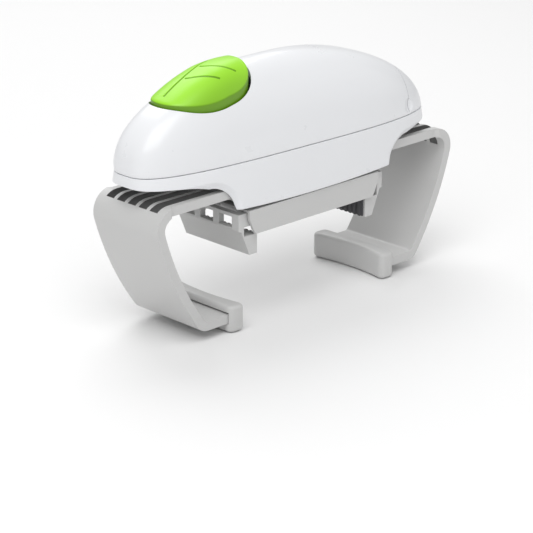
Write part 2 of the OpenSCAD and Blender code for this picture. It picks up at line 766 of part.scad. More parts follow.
module sun_gear() {
    color(nylon) {
        translate([0, 0, planet_z])
            spur(train_m, sun_teeth, input_z - planet_z + eps, sun_axle_r + bore_gap);
        translate([0, 0, input_z]) spur(train_m, ring_teeth, input_t, sun_axle_r + bore_gap);
    }
}

module sun_axle() {
    color(steel) translate([0, 0, planet_z - 0.1])
        cylinder(r = sun_axle_r - eps, h = frame_top_z - planet_z + 0.1);
}

module planet_gear(k) {
    a = 120 * k;
    color(nylon) translate([planet_orbit * cos(a), planet_orbit * sin(a), planet_z])
        spur(train_m, sun_teeth, planet_t, pin_r + bore_gap, a + 180 / sun_teeth);
}
module planet_gear_1() { planet_gear(0); }
module planet_gear_2() { planet_gear(1); }
module planet_gear_3() { planet_gear(2); }

module planet_carrier() {
    color(steel) {
        translate([0, 0, carrier_z]) cylinder(r = planet_orbit + pin_r + 1.6, h = 1);
        translate([0, 0, hub_top_z + 0.2]) cylinder(r = shaft_r, h = carrier_z - hub_top_z - 0.2 + eps);
    }
}

module planet_pins() {
    color(steel) for (k = [0:2])
        translate([planet_orbit * cos(120 * k), planet_orbit * sin(120 * k), carrier_z + 1])
            cylinder(r = pin_r, h = planet_t + 0.5);
}

ring_wall = 3.1;
module ring_gear() {
    wall_r = ring_r + ring_wall;
    color(nylon) {
        translate([0, 0, ring_floor_z]) tube_z(wall_r, shaft_r + 2 * bore_gap, 1.2);
        translate([0, 0, ring_floor_z + 1.2 - eps]) linear_extrude(planet_z + planet_t - ring_floor_z - 1)
            difference() {
                circle(wall_r);
                rotate(180 / ring_teeth) polygon(gear_outline(train_m, ring_teeth, -backlash, ded_k, add_k));
            }
    }
}

module arm_pinion() {
    color(nylon) translate([0, 0, arm_bottom_z - 0.2])
        spur(arm_m, arm_teeth, ring_floor_z - arm_bottom_z + 0.2, shaft_r + 2 * bore_gap);
}

// ---------- jar arms ----------

leg_cx = leg_r - leg_reach;
bend_cz = arm_top_z - bend_r;
bend_cx = leg_cx - sqrt(pow(leg_r - bend_r, 2) - pow(bend_cz - leg_cz, 2));
bend_a = atan2(bend_cz - leg_cz, bend_cx - leg_cx) + 360;
corner_cz = tongue_z + corner_r;
corner_cx = leg_cx - sqrt(pow(leg_r - corner_r, 2) - pow(corner_cz - leg_cz, 2));
corner_a = atan2(corner_cz - leg_cz, corner_cx - leg_cx) + 360;
tongue_grip = 4;       // how far an arm's tongue reaches into its pad
tongue_x = -(pad_x + pad_t - tongue_grip);

// Side outline of an arm, d inside its outer face
function arm_line(d) = concat([[-plate_end_x, arm_top_z - d]],
    arc(bend_cx, bend_cz, bend_r - d, 90, bend_a, 10),
    arc(leg_cx, leg_cz, leg_r - d, bend_a + 1, corner_a - 1, 10),
    arc(corner_cx, corner_cz, corner_r - d, corner_a, 270, 6), [[tongue_x, tongue_z + d]]);

slot_zone = 2 * (plate_half_w - rail_w);
slot_w = (slot_zone - (slots - 1) * rib_w) / slots;
slot_pitch = slot_w + rib_w;
slot_end_x = bend_cx - 0.3 * bend_r;
bar_w = 3;

module jar_arm() {
    difference() {
        rotate([90, 0, 0]) translate([0, 0, -leg_half_w]) linear_extrude(2 * leg_half_w)
            polygon(concat(arm_line(0), reversed(arm_line(arm_t))));
        for (k = [0:slots - 1]) arm_slot(k - (slots - 1) / 2);
        for (side = [-1, 1]) plate_side(side);
    }
    // Rack that runs in the other arm's open slot
    translate([0, arm_pinion_r, arm_bottom_z + 0.2])
        rack(arm_m, -plate_end_x - 1, arm_pinion_r - 1, slot_pitch + slot_w / 2 - arm_pinion_r - run,
            arm_t - 0.4, 0);
}

// Slot in the arm's plate; the one where the other arm's rack passes is open at its inner end
module arm_slot(k) {
    open = k == -1;
    inner_x = open ? -plate_end_x + 1 : -plate_end_x - bar_w;
    translate([slot_end_x, k * slot_pitch - slot_w / 2, bend_cz])
        cube([inner_x - slot_end_x, slot_w, bend_r + 1]);
}

// The plate is narrower than the leg, to slide between the skirts
module plate_side(side) {
    extra = leg_half_w - plate_half_w;
    a = [[1, plate_half_w], [bend_cx, plate_half_w], [bend_cx - extra, leg_half_w + eps],
        [1, leg_half_w + eps]];
    translate([0, 0, arm_bottom_z - 2]) linear_extrude(arm_t + 3) polygon([for (p = a) [p[0], side * p[1]]]);
}

module jar_arm_left() { color(grey) jar_arm(); }
module jar_arm_right() { color(grey) rotate([0, 0, 180]) jar_arm(); }

module jar_pad() {
    hollow_r = (pad_half_w * pad_half_w + pad_hollow * pad_hollow) / (2 * pad_hollow);
    fit = 0.2;
    difference() {
        translate([-pad_x - pad_t / 2, 0, 0]) linear_extrude(pad_h)
            polygon(round_rect(pad_t, 2 * pad_half_w, pad_round));
        translate([hollow_r - pad_x - pad_hollow, 0, -1]) cylinder(r = hollow_r, h = pad_h + 2, $fn = 180);
        translate([-pad_x - pad_t - 1, -leg_half_w - fit, tongue_z - fit])
            cube([tongue_x + pad_x + pad_t + 1 + fit, 2 * leg_half_w + 2 * fit, arm_t + 2 * fit]);
    }
}
module jar_pad_left() { color(grey) jar_pad(); }
module jar_pad_right() { color(grey) rotate([0, 0, 180]) jar_pad(); }

// ---------- turning tray and lid jaws ----------

rod_z = 53.3;
rod_r = 1.5;
rod_y = jaw_half_w - 2.3;
block_y = rod_y - 2.5;  // inner side of the tray's blocks that guide the rods
block_l = 13;
block_x = 9.5;
jaw_travel_in = 20;
lid_shaft_r = 4;
cover_screw_r = 1;
cover_screw_l = 4.4;
cover_half_l = 24.4;
cover_bottom_z = tray_z + 0.2;
cover_top_z = 48;
top_t = 1.2;

module turning_tray() {
    inner_w = tray_half_w - tray_wall;
    low_l = tray_half_l - tray_rake;
    // Slanted end of a side wall, with a small chamfer below
    tray_end = [[-tray_half_l, tray_top_z], [-tray_half_l, tray_top_z - 4], [-low_l - 0.6, tray_z + 2.6],
        [-low_l + 1, tray_z]];
    color(grey) difference() {
        union() {
            for (side = [-1, 1]) translate([0, side * (tray_half_w - tray_wall / 2) + tray_wall / 2, 0])
                rotate([90, 0, 0]) linear_extrude(tray_wall)
                    polygon(concat(tray_end, [for (p = reversed(tray_end)) [-p[0], p[1]]]));
            translate([-tray_half_l, -inner_w - eps, tray_top_z - top_t])
                cube([2 * tray_half_l, 2 * inner_w + 2 * eps, top_t]);
            translate([0, 0, tray_top_z - eps]) cylinder(r = hub_r, h = hub_top_z - tray_top_z);
            for (side = [-1, 1])
                translate([side * block_x - block_l / 2, side > 0 ? block_y : -inner_w - eps, cover_top_z])
                    cube([block_l, inner_w - block_y + eps, tray_top_z - top_t - cover_top_z + eps]);
        }
        translate([0, 0, tray_z]) cylinder(r = lid_shaft_r + 2 * bore_gap, h = 30);
        for (side = [-1, 1]) {
            translate([side * block_x - block_l / 2 - 1, side * rod_y, rod_z]) rotate([0, 90, 0])
                cylinder(r = rod_r + bore_gap, h = block_l + 2);
            translate([side * block_x, side * rod_y, cover_top_z - 1])
                cylinder(r = cover_screw_r, h = cover_screw_l);
        }
    }
}

module tray_ring() {
    color(nylon) translate([0, 0, hub_top_z - eps]) tube_z(hub_r + 3, lid_shaft_r + 2 * bore_gap + 1, 0.4);
    color(nylon) translate([0, 0, floor_z + floor_t + 0.2])
        tube_z(hub_r + 3, hub_r, hub_top_z - floor_z - floor_t - 0.2);
}

module tray_cover() {
    color(grey) translate([0, 0, cover_bottom_z]) linear_extrude(cover_top_z - cover_bottom_z)
        difference() {
            polygon(round_rect(2 * cover_half_l, 2 * (tray_half_w - tray_wall) - 0.2, 2));
            for (side = [-1, 1]) translate([side * block_x, side * rod_y]) circle(cover_screw_r + bore_gap);
        }
}

module cover_screws() {
    color(steel) for (side = [-1, 1])
        translate([side * block_x, side * rod_y, cover_bottom_z]) mirror([0, 0, 1])
            pan_screw([0, 0, 0], cover_screw_r - eps, cover_screw_l);
}

// Guide rod of a jaw: it slides through the tray's block on the side away from the jaw's rack
module jaw_rod() {
    in_end = jaw_wall_x - jaw_wall_t - jaw_travel_in - 1;
    translate([-jaw_wall_x + 1, -rod_y, rod_z]) rotate([0, 90, 0])
        cylinder(r = rod_r, h = jaw_wall_x - 1 + in_end - jaw_travel_in);
}
module jaw_rod_left() { color(steel) jaw_rod(); }
module jaw_rod_right() { color(steel) rotate([0, 0, 180]) jaw_rod(); }

window_side = 4.8;     // from a jaw's end to its first window
window_bar = 3.9;
window_w = (2 * (jaw_half_w - window_side) - 2 * window_bar) / 3;
window_pitch = window_w + window_bar;
window_z = 49.6;
window_h = 5.4;
ledge_z = 48.5;
ledge_w = 2.6;
ledge_drop = 0.6;
lip_w = 5;             // thickness of the lip at its underside
jaw_top_z = tray_top_z - top_t - run;
jaw_boss_l = 8;

module lid_jaw() {
    in_x = -jaw_wall_x + jaw_wall_t;
    grip_x = -jaw_x - strip_t;
    rack_back = block_y - 2 * run - lid_pinion_r;
    rack_end_x = 12;
    web_y = 1.2;
    difference() {
        union() {
            // Wall with its ledge and the gripping lip below the tray
            rotate([90, 0, 0]) translate([0, 0, -jaw_half_w]) linear_extrude(2 * jaw_half_w)
                polygon([[-jaw_wall_x, jaw_top_z], [-jaw_wall_x, ledge_z],
                    [-jaw_wall_x + ledge_w, ledge_z - ledge_drop], [grip_x - lip_w, jaw_z], [grip_x, jaw_z],
                    [grip_x, lip_z], [in_x, lip_z], [in_x, jaw_top_z]]);
            translate([in_x - eps, -jaw_half_w, window_z + 0.4])
                cube([jaw_boss_l, window_side - 0.2, jaw_top_z - window_z - 0.4]);
        }
        for (k = [-1:1]) translate([-jaw_wall_x - 1, k * window_pitch - window_w / 2, window_z])
            cube([jaw_wall_t + 2, window_w, window_h]);
        translate([-jaw_wall_x + 1, -rod_y, rod_z]) rotate([0, 90, 0])
            cylinder(r = rod_r, h = jaw_wall_t + jaw_boss_l);
    }
    // Rack beside the pinion, joined to the wall over and under its window
    translate([0, lid_pinion_r, window_z + 0.6])
        rack(train_m, in_x - eps, rack_end_x, rack_back, window_h - 1.2, 0.5);
    translate([in_x - 1, lid_pinion_r + web_y, window_z - 1]) cube([3, rack_back - web_y, window_h + 2]);
}
module lid_jaw_left() { color(grey) lid_jaw(); }
module lid_jaw_right() { color(grey) rotate([0, 0, 180]) lid_jaw(); }

// Rubber strip with upright ribs on a jaw's gripping face
module lid_strip() {
    rib = 1.5;
    count = floor((2 * jaw_half_w - 2) / (2 * rib));
    translate([-jaw_x - strip_t, -jaw_half_w + 1, jaw_z + 0.4]) {
        cube([strip_t / 2, 2 * jaw_half_w - 2, lip_z - jaw_z - 0.8]);
        for (k = [0:count - 1]) translate([strip_t / 2 - eps, rib / 2 + 2 * rib * k, 0])
            cube([strip_t / 2 + eps, rib, lip_z - jaw_z - 0.8]);
    }
}
module lid_strip_left() { color(dark) lid_strip(); }
module lid_strip_right() { color(dark) rotate([0, 0, 180]) lid_strip(); }

module lid_pinion() {
    color(nylon) {
        translate([0, 0, window_z + 0.4]) linear_extrude(window_h - 0.6)
            polygon(gear_outline(train_m, lid_teeth, backlash));
        translate([0, 0, cover_top_z + 0.2]) cylinder(r = lid_shaft_r, h = hub_top_z - cover_top_z - 0.3);
    }
}

// ---------- wires ----------

wire_r = 0.6;
motor_top_z = frame_top_z + motor_l;
board_top_z = board_z + board_t;
plug_x = board_x + board_l / 2 - 1.6;
motor_wire = [[motor_x - 3.1, -6, motor_top_z + 1.85], [motor_x - 3.5, -6, motor_top_z + 3.25],
    [motor_x - 6.1, -6.6, motor_top_z + 3.65], [motor_x - 9.1, -7.6, motor_top_z + 1.65],
    [plug_x + 6, -8.4, board_top_z + 4], [plug_x + 3.6, -7.6, board_top_z + 2.8],
    [plug_x + 1, -6.4, board_top_z + 3], [plug_x, -5.8, board_top_z + 2], [plug_x, -5.8, board_top_z]];
feed_x = board_x + 1;
battery_wire = [[cell_x - 1.7, -cell_y, cell_z], [cell_x - 5.3, -cell_y, cell_z],
    [cell_x - 14.3, -11, cell_z - 2.7], [-14, -14.6, frame_top_z + 4.65],
    [motor_x - 9.1, -14.6, frame_top_z + 4.65], [feed_x + 4, -14, frame_top_z + 9.65],
    [feed_x, -13.4, board_z - 1.4], [feed_x, -13, board_top_z + 1.4], [feed_x, -11.4, board_top_z + 2.8],
    [feed_x, -9.2, board_top_z + 2.2], [feed_x, -9.2, board_top_z]];

module wires() {
    color([0.7, 0.1, 0.1]) {
        tube(motor_wire, wire_r);
        tube(battery_wire, wire_r);
    }
    color(dark) {
        tube([for (p = motor_wire) [p[0], -p[1], p[2]]], wire_r);
        tube([for (p = battery_wire) [p[0], -p[1], p[2]]], wire_r);
    }
}

upper_housing();
lower_housing();
battery_cover();
start_button();
button_bezel();
button_spring();
start_switch();
circuit_board();
board_posts();
battery_tray();
battery_cells();
contact_springs();
contact_plates();
frame_plate();
floor_plate();
frame_screws();
housing_screws();
thrust_washer();
motor();
motor_screws();
motor_pinion();
intermediate_gear();
intermediate_axle();
sun_gear();
sun_axle();
planet_gear_1();
planet_gear_2();
planet_gear_3();
planet_carrier();
planet_pins();
ring_gear();
arm_pinion();
jar_arm_left();
jar_arm_right();
jar_pad_left();
jar_pad_right();
turning_tray();
tray_ring();
tray_cover();
cover_screws();
jaw_rod_left();
jaw_rod_right();
lid_jaw_left();
lid_jaw_right();
lid_strip_left();
lid_strip_right();
lid_pinion();
wires();
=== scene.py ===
"""The looks of an electric jar opener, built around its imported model.

The housing, its battery cover, the start button and the jar pads are modelled afresh. The jar
arms, the lid jaws with their rubber strips, the tray and its cover are copies of the frame's
nodes with rounded edges. Everything else is the frame's own and only gets a finish.
Blender keeps sizes and meshes in metres, and the formulas of the shapes work in millimetres.
+X points to the battery end, +Z up.
"""

import json
import math
from types import SimpleNamespace

import bmesh
import bpy
from bpy.props import FloatProperty, FloatVectorProperty, IntProperty, PointerProperty
from mathutils import Matrix, Vector


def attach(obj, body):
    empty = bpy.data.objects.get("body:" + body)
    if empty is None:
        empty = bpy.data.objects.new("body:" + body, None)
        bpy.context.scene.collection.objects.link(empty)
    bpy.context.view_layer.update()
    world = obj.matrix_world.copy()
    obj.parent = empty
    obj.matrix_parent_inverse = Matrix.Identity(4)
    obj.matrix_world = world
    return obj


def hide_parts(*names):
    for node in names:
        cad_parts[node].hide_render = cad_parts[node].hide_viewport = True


bl_info = {
    "name": "Electric jar opener",
    "version": (1, 0, 0),
    "blender": (4, 5, 0),
    "location": "View3D > Sidebar > Jar opener",
    "description": "Dresses the packed jar opener and sets its stage",
    "category": "Object",
}

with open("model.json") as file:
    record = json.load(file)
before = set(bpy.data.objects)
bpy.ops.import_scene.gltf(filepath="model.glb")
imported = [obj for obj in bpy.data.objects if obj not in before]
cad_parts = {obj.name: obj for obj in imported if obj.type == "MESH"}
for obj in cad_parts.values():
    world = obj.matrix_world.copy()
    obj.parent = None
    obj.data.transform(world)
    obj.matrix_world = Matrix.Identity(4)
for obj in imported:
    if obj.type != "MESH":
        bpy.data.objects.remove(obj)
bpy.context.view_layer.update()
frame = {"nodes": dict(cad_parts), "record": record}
BODY_OF = {node: body for body, nodes in frame["record"]["behaviour"]["bodies"].items()
           for node in nodes}
SLOT_OF = {part["node"]: part["material_slot"] for part in frame["record"]["subparts"]}
MM = 0.001
SHARP = math.radians(32)    # an edge sharper than this stays sharp or is rounded
MERGE = 2e-6                # points of a node that are nearer than this are one


# ---------------------------------------------------------------- sizes and colours

def length_mm(name, default, description):
    """A length that a user can change; its default is given in millimetres."""
    return FloatProperty(name=name, description=description, default=default * MM,
                         unit="LENGTH", precision=5)


def watts(name, default, description):
    """The power of a lamp, which a user can change."""
    return FloatProperty(name=name, description=description, default=default, min=0, unit="POWER")


def colour(name, default, description):
    """A linear colour that a user can change."""
    return FloatVectorProperty(name=name, description=description, default=default,
                               subtype="COLOR", size=3, min=0, max=1)


class OPENER_PG_body(bpy.types.PropertyGroup):
    """Sizes of the two shells."""
    centre_x: length_mm("Middle", -5.3, "Middle of the body's plan along X")
    half_length: length_mm("Half length", 94.4, "Half the body's length at the parting line")
    half_width: length_mm("Half width", 25.4, "Half the body's width at the parting line")
    squareness: FloatProperty(name="Squareness", description="Power of the plan's superellipse",
                              default=3.15, min=2)
    egg: FloatProperty(name="Egg", default=0.13,
                       description="How much wider the plan grows towards the battery end")
    parting_z: length_mm("Parting line", 82.5, "Height of the parting line")
    dome: length_mm("Dome", 41.4, "Height of the dome above the parting line")
    lean: length_mm("Lean", 6.3, "How far the dome's top leans towards the button end")
    wall: length_mm("Wall", 2.2, "Wall of the upper shell")
    lower_wall: length_mm("Lower wall", 1.8, "Wall of the lower shell")
    seam: length_mm("Seam", 0.4, "Gap between the shells")
    lip: length_mm("Lip", 0.3, "Radius of the shells' edges along the seams")
    cover_x: length_mm("Cover", 67.8, "Where the battery cover starts")


class OPENER_PG_skirt(bpy.types.PropertyGroup):
    """Sizes of the lower shell's edge."""
    low_z: length_mm("Lowest", 58.7, "Lowest height of the skirts")
    rise: length_mm("Rise", 1.6, "How much the lower edge rises by the arch")
    squareness: FloatProperty(name="Squareness", description="Power of the plan at the lower edge",
                              default=4.5, min=2)
    arch_x: length_mm("Arch place", 66.0, "Middle of the arch's curve")
    arch_z: length_mm("Arch height", 58.0, "Height of the middle of the arch's curve")
    arch_r: length_mm("Arch radius", 15.1, "Radius of the arch over the arms")
    end_rise: length_mm("End rise", 3.9, "Rise of the edge from the arch to the ends")
    bevel: length_mm("Bevel", 1.9, "Depth of the bevel round the arch")
    bevel_h: length_mm("Bevel height", 3.4, "Height of the bevel round the arch")
    swell: length_mm("Swell", 1.0, "Extra wall behind the bevel")


class OPENER_PG_leaf(bpy.types.PropertyGroup):
    """Sizes of the leaf-shaped start button."""
    tip_x: length_mm("Tip", -77.9, "Pointed end of the leaf")
    mid_x: length_mm("Widest", -50, "Widest place of the leaf")
    end_x: length_mm("Blunt end", -30.2, "Blunt end of the leaf")
    half_width: length_mm("Half width", 16.6, "Half the leaf's width")
    proud: FloatVectorProperty(
        name="Proud", size=3, default=(1.5 * MM, 3.2 * MM, 2.8 * MM), unit="LENGTH", precision=5,
        description="Height of the edge above the dome: tip, middle and blunt end")
    crown: length_mm("Crown", 1.2, "Extra height in the middle")
    sink: length_mm("Sink", 4.0, "Depth of the wall under the dome")
    gap: length_mm("Gap", 0.9, "Gap between the button and the shell")
    edge: length_mm("Edge", 0.7, "Radius of the rounded upper edge")
    vein: length_mm("Vein", 0.6, "Radius of the engraved veins")


class OPENER_PG_slots(bpy.types.PropertyGroup):
    """Sizes of the slots in the arms' plates."""
    count: IntProperty(name="Count", description="Slots side by side", default=5)
    pitch: length_mm("Pitch", 7.56, "Distance between slots")
    width: length_mm("Width", 5.36, "Width of a slot")
    start_x: length_mm("Start", 95.6, "Distance of the slots' outer ends from the middle")
    low_z: length_mm("Lowest", 59.5, "Height where the slots start to cut")
    top_z: length_mm("Top", 70.0, "Height of the plates' upper face")


class OPENER_PG_pad(bpy.types.PropertyGroup):
    """Sizes of a jar pad."""
    inner_x: length_mm("Place", 47.0, "Distance of the gripping face's ends from the middle")
    thickness: length_mm("Thickness", 10.0, "Thickness along X")
    half_width: length_mm("Half width", 25.0, "Half the pad's width")
    height: length_mm("Height", 13.3, "Height of the pad")
    hollow: length_mm("Hollow", 3.0, "Depth of the hollow in the gripping face")
    corner: length_mm("Corner", 3.6, "Radius of the upright corners")
    edge: length_mm("Edge", 1.9, "Radius of the upper and lower edges")
    slot_x: length_mm("Slot end", 52.6, "Distance of the slot's end from the middle")
    slot_half: length_mm("Slot half width", 23.0, "Half the slot's width")
    slot_low: length_mm("Slot floor", 4.3, "Height of the slot's floor")
    slot_top: length_mm("Slot top", 10.2, "Height of the slot's top")


class OPENER_PG_edges(bpy.types.PropertyGroup):
    """Widths of the rounded edges."""
    arm: length_mm("Arms", 0.6, "Edges of the jar arms")
    tray: length_mm("Tray", 0.4, "Edges of the turning tray and its cover")
    jaw: length_mm("Jaws", 0.09, "Edges of the lid jaws")
    strip: length_mm("Strips", 0.25, "Edges of the rubber strips")


class OPENER_PG_finish(bpy.types.PropertyGroup):
    """Colours of the finishes."""
    white: colour("White", (0.82, 0.83, 0.85), "Glossy shells")
    grey: colour("Grey", (0.585, 0.585, 0.58), "Satin arms, jaws and tray")
    lime: colour("Lime", (0.34, 0.76, 0.025), "Start button")
    black: colour("Black", (0.012, 0.012, 0.013), "Bezel, rubber and battery tray")
    nylon: colour("Nylon", (0.74, 0.71, 0.60), "Gears")
    board: colour("Board", (0.015, 0.13, 0.05), "Circuit board")
    floor: colour("Floor", (0.88, 0.88, 0.88), "Floor of the stage")


class OPENER_PG_camera(bpy.types.PropertyGroup):
    """Where the camera stands, from the photograph's perspective."""
    azimuth: FloatProperty(name="Azimuth", description="Turn from -Y, negative towards -X",
                           default=math.radians(-44.16), subtype="ANGLE")
    elevation: FloatProperty(name="Elevation", description="Angle above the floor",
                             default=math.radians(20.23), subtype="ANGLE")
    distance: length_mm("Distance", 1085, "Distance from the target")
    focal_px: FloatProperty(name="Focal length", default=2204,
                            description="In pixels of the 533-pixel photograph")
    target: FloatVectorProperty(name="Target", description="Where it looks", size=3,
                                default=(-9.30 * MM, 0, 15.35 * MM), subtype="XYZ", unit="LENGTH")


class OPENER_PG_lights(bpy.types.PropertyGroup):
    """Strengths of the studio's lights."""
    sky: FloatProperty(name="Sky", description="Strength of the even light", default=0.42, min=0)
    key: watts("Key", 13.0, "Lamp above the button end")
    far: watts("Far", 8.0, "Lamp behind the body")
    side: watts("Side", 0.6, "Lamp beside the battery end")


# The property groups by their names on the scene
GROUPS = {
    "opener_body": OPENER_PG_body,
    "opener_skirt": OPENER_PG_skirt,
    "opener_leaf": OPENER_PG_leaf,
    "opener_slots": OPENER_PG_slots,
    "opener_pad": OPENER_PG_pad,
    "opener_edges": OPENER_PG_edges,
    "opener_finish": OPENER_PG_finish,
    "opener_camera": OPENER_PG_camera,
    "opener_lights": OPENER_PG_lights,
}


def in_mm(group):
    """A group's values by their names, with its lengths in millimetres."""
    values = {}
    for name in type(group).__annotations__:
        value, kind = getattr(group, name), group.bl_rna.properties[name]
        if kind.unit == "LENGTH":
            # Rounded, because single precision leaves dust beyond the fourth decimal
            value = [round(v / MM, 4) for v in value] if kind.is_array else round(value / MM, 4)
        values[name] = value
    return SimpleNamespace(**values)


# ---------------------------------------------------------------- shader maths

# Places of the Mix node's sockets for colours, which share their names with its other kinds
MIX_FACTOR, MIX_ONE, MIX_OTHER, MIX_RESULT = 0, 6, 7, 2


class Value:
    """An output of a node; on numbers, Python's operators add Math nodes."""

    def __init__(self, shader, socket):
        self.shader = shader
        self.socket = socket

    def _math(self, operation, *values):
        """The output of a Math node on the values."""
        made = self.shader.node("ShaderNodeMath", {"operation": operation}, dict(enumerate(values)))
        return made.value

    def __add__(self, other):
        return self._math("ADD", self, other)

    def __radd__(self, other):
        return self._math("ADD", other, self)

    def __mul__(self, other):
        return self._math("MULTIPLY", self, other)

    def __rmul__(self, other):
        return self._math("MULTIPLY", other, self)

    def above(self, limit):
        """1 where the value is above the limit, else 0."""
        return self._math("GREATER_THAN", self, limit)

    def repeat(self, step):
        """The value going to and fro between 0 and the step."""
        return self._math("PINGPONG", self, step)


class Made:
    """A node with its outputs at hand."""

    def __init__(self, shader, node):
        self.shader = shader
        self.node = node

    def out(self, name):
        """One of its outputs."""
        return Value(self.shader, self.node.outputs[name])

    @property
    def value(self):
        """Its first output."""
        return Value(self.shader, self.node.outputs[0])


class Shader:
    """A material and the one way in which nodes are added to it."""

    def __init__(self, name):
        self.material = bpy.data.materials.new(name)
        self.material.use_nodes = True
        self.tree = self.material.node_tree
        self.principled = self.tree.nodes["Principled BSDF"]
        self.place = self.node("ShaderNodeTexCoord").out("Object")

    def node(self, kind, settings=(), inputs=()):
        """Adds a node, sets its settings and then its sockets' values or links."""
        made = self.tree.nodes.new(kind)
        for name, setting in dict(settings).items():
            setattr(made, name, setting)
        for name, given in dict(inputs).items():
            self.feed(made.inputs[name], given)
        return Made(self, made)

    def feed(self, socket, given):
        """Links a socket, or sets its constant; a colour gets its alpha."""
        if isinstance(given, Value):
            self.tree.links.new(given.socket, socket)
        elif socket.type == "RGBA":
            socket.default_value = (*given, 1)
        else:
            socket.default_value = given

    def noise(self, scale, detail=3.0, roughness=0.5, stretch=(1, 1, 1)):
        """Noise in object space; scale is in turns a metre."""
        place = self.node("ShaderNodeMapping", {}, {"Vector": self.place, "Scale": stretch}).value
        return self.node("ShaderNodeTexNoise", {}, {
            "Vector": place, "Scale": scale, "Detail": detail, "Roughness": roughness}).value

    def mixed(self, mask, one, other):
        """A colour between one and other."""
        mix = self.node("ShaderNodeMix", {"data_type": "RGBA"},
                        {MIX_FACTOR: mask, MIX_ONE: one, MIX_OTHER: other})
        return Value(self, mix.node.outputs[MIX_RESULT])

    def bump(self, height, distance, strength):
        """A tilt of the surface for its Normal; the distance is in metres."""
        return self.node("ShaderNodeBump", {}, {
            "Height": height, "Distance": distance, "Strength": strength}).value

    def finish(self, **sockets):
        """Sets the surface's sockets: a colour, a number or a link."""
        for name, given in sockets.items():
            self.feed(self.principled.inputs[name.replace("_", " ")], given)
        return self.material


def shade(base, factor):
    """A colour made lighter or darker."""
    return tuple(min(1, c * factor) for c in base)


def gloss_white(base):
    """White moulded plastic with a polished skin."""
    s = Shader("gloss_white")
    cloud = s.noise(22, 2)
    ripple = s.noise(160, 2)
    return s.finish(Base_Color=s.mixed(cloud, shade(base, 0.985), shade(base, 1.01)),
                    Roughness=0.24 + 0.10 * s.noise(75, 4), Coat_Weight=0.2, Coat_Roughness=0.16,
                    Normal=s.bump(ripple, 0.00002, 0.35))


def satin_grey(base):
    """Grey moulded plastic with a fine eroded texture, faint flow marks and painted shade inside
    the arms' slots.
    """
    s = Shader("satin_grey")
    grain = s.noise(2600, 3, 0.6)
    cloud = s.noise(18, 3)
    flow = s.noise(30, 3, 0.5, (1, 0.25, 3))
    tone = s.mixed(cloud, shade(base, 0.965), shade(base, 1.03))
    tone = s.mixed(0.5 * flow, tone, shade(base, 1.02))
    # Painted shade: the faces marked inside the arms' slots turn to 0.17 of the grey
    painted_slot_shade = s.node("ShaderNodeAttribute", {"attribute_name": "painted_slot_shade"}).out("Fac")
    return s.finish(Base_Color=s.mixed(painted_slot_shade, tone, shade(base, 0.17)),
                    Roughness=0.34 + 0.14 * grain, Normal=s.bump(grain, 0.00003, 0.5))


def lime_gloss(base):
    """Lime plastic with a soft gloss, with painted shade towards its sides, in its veins and down
    its wall.
    """
    s = Shader("lime_gloss")
    cloud = s.noise(45, 2)
    across = s.node("ShaderNodeSeparateXYZ", {}, {"Vector": s.place}).out("Y")
    # Painted shade towards the leaf's sides, growing from 6 to 16 mm off the midrib; the limits are
    # squares of these
    painted_side_shade = s.node("ShaderNodeMapRange", {"interpolation_type": "SMOOTHSTEP"}, {
        "Value": across * across, "From Min": 0.00004, "From Max": 0.00026, "To Max": 0.85}).value
    face = s.mixed(painted_side_shade, base, shade(base, 0.66))
    # Painted shade in the veins and down the wall, darker the deeper below the face
    depth = s.node("ShaderNodeAttribute", {"attribute_name": "depth_mm"}).out("Fac")
    low = s.node("ShaderNodeMapRange", {"interpolation_type": "SMOOTHSTEP"},
                 {"Value": depth, "From Min": 0.1, "From Max": 0.6}).value
    tone = s.mixed(low, face, (0.38 * base[0], 0.40 * base[1], 0))
    return s.finish(Base_Color=s.mixed(0.1 * cloud, tone, shade(base, 0.9)),
                    Roughness=0.36 + 0.10 * s.noise(120, 3), Coat_Weight=0.12, Coat_Roughness=0.2,
                    Normal=s.bump(s.noise(900, 2), 0.00002, 0.3))


def black_plastic(name, base, roughness):
    """Matt black plastic or rubber with a faint dusting."""
    s = Shader(name)
    dust = s.noise(240, 4)
    return s.finish(Base_Color=s.mixed(dust, base, shade(base, 2.2)),
                    Roughness=roughness + 0.15 * dust,
                    Normal=s.bump(s.noise(1800, 3), 0.00003, 0.5))


def bright_steel():
    """Steel with faint drawing lines."""
    s = Shader("bright_steel")
    lines = s.noise(900, 2, 0.5, (1, 1, 0.05))
    return s.finish(Base_Color=s.mixed(lines, (0.46, 0.46, 0.48), (0.66, 0.66, 0.67)),
                    Metallic=1.0, Roughness=0.22 + 0.16 * lines,
                    Normal=s.bump(lines, 0.00001, 0.5))


def natural_nylon(base):
    """Milky gear plastic."""
    s = Shader("natural_nylon")
    cloud = s.noise(130, 3)
    return s.finish(Base_Color=s.mixed(cloud, shade(base, 0.93), shade(base, 1.04)),
                    Roughness=0.34 + 0.1 * cloud, Normal=s.bump(s.noise(1500, 2), 0.00002, 0.4))


def green_board(base):
    """Solder mask over faint copper tracks."""
    s = Shader("green_board")
    across = s.node("ShaderNodeSeparateXYZ", {}, {"Vector": s.place}).out("Y")
    tracks = (across * 900).repeat(1.0).above(0.72)
    return s.finish(Base_Color=s.mixed(tracks, base, shade(base, 1.7)),
                    Roughness=0.25 + 0.1 * s.noise(400), Normal=s.bump(tracks, 0.00003, 0.6))


def cell_wrap():
    """A battery cell: dark wrap with a coppery band at one end."""
    s = Shader("cell_wrap")
    band_x = 0.054
    band = s.node("ShaderNodeSeparateXYZ", {}, {"Vector": s.place}).out("X").above(band_x)
    return s.finish(Base_Color=s.mixed(band, (0.03, 0.032, 0.038), (0.55, 0.27, 0.10)),
                    Roughness=0.28 + 0.12 * s.noise(300), Metallic=0.35 * band)


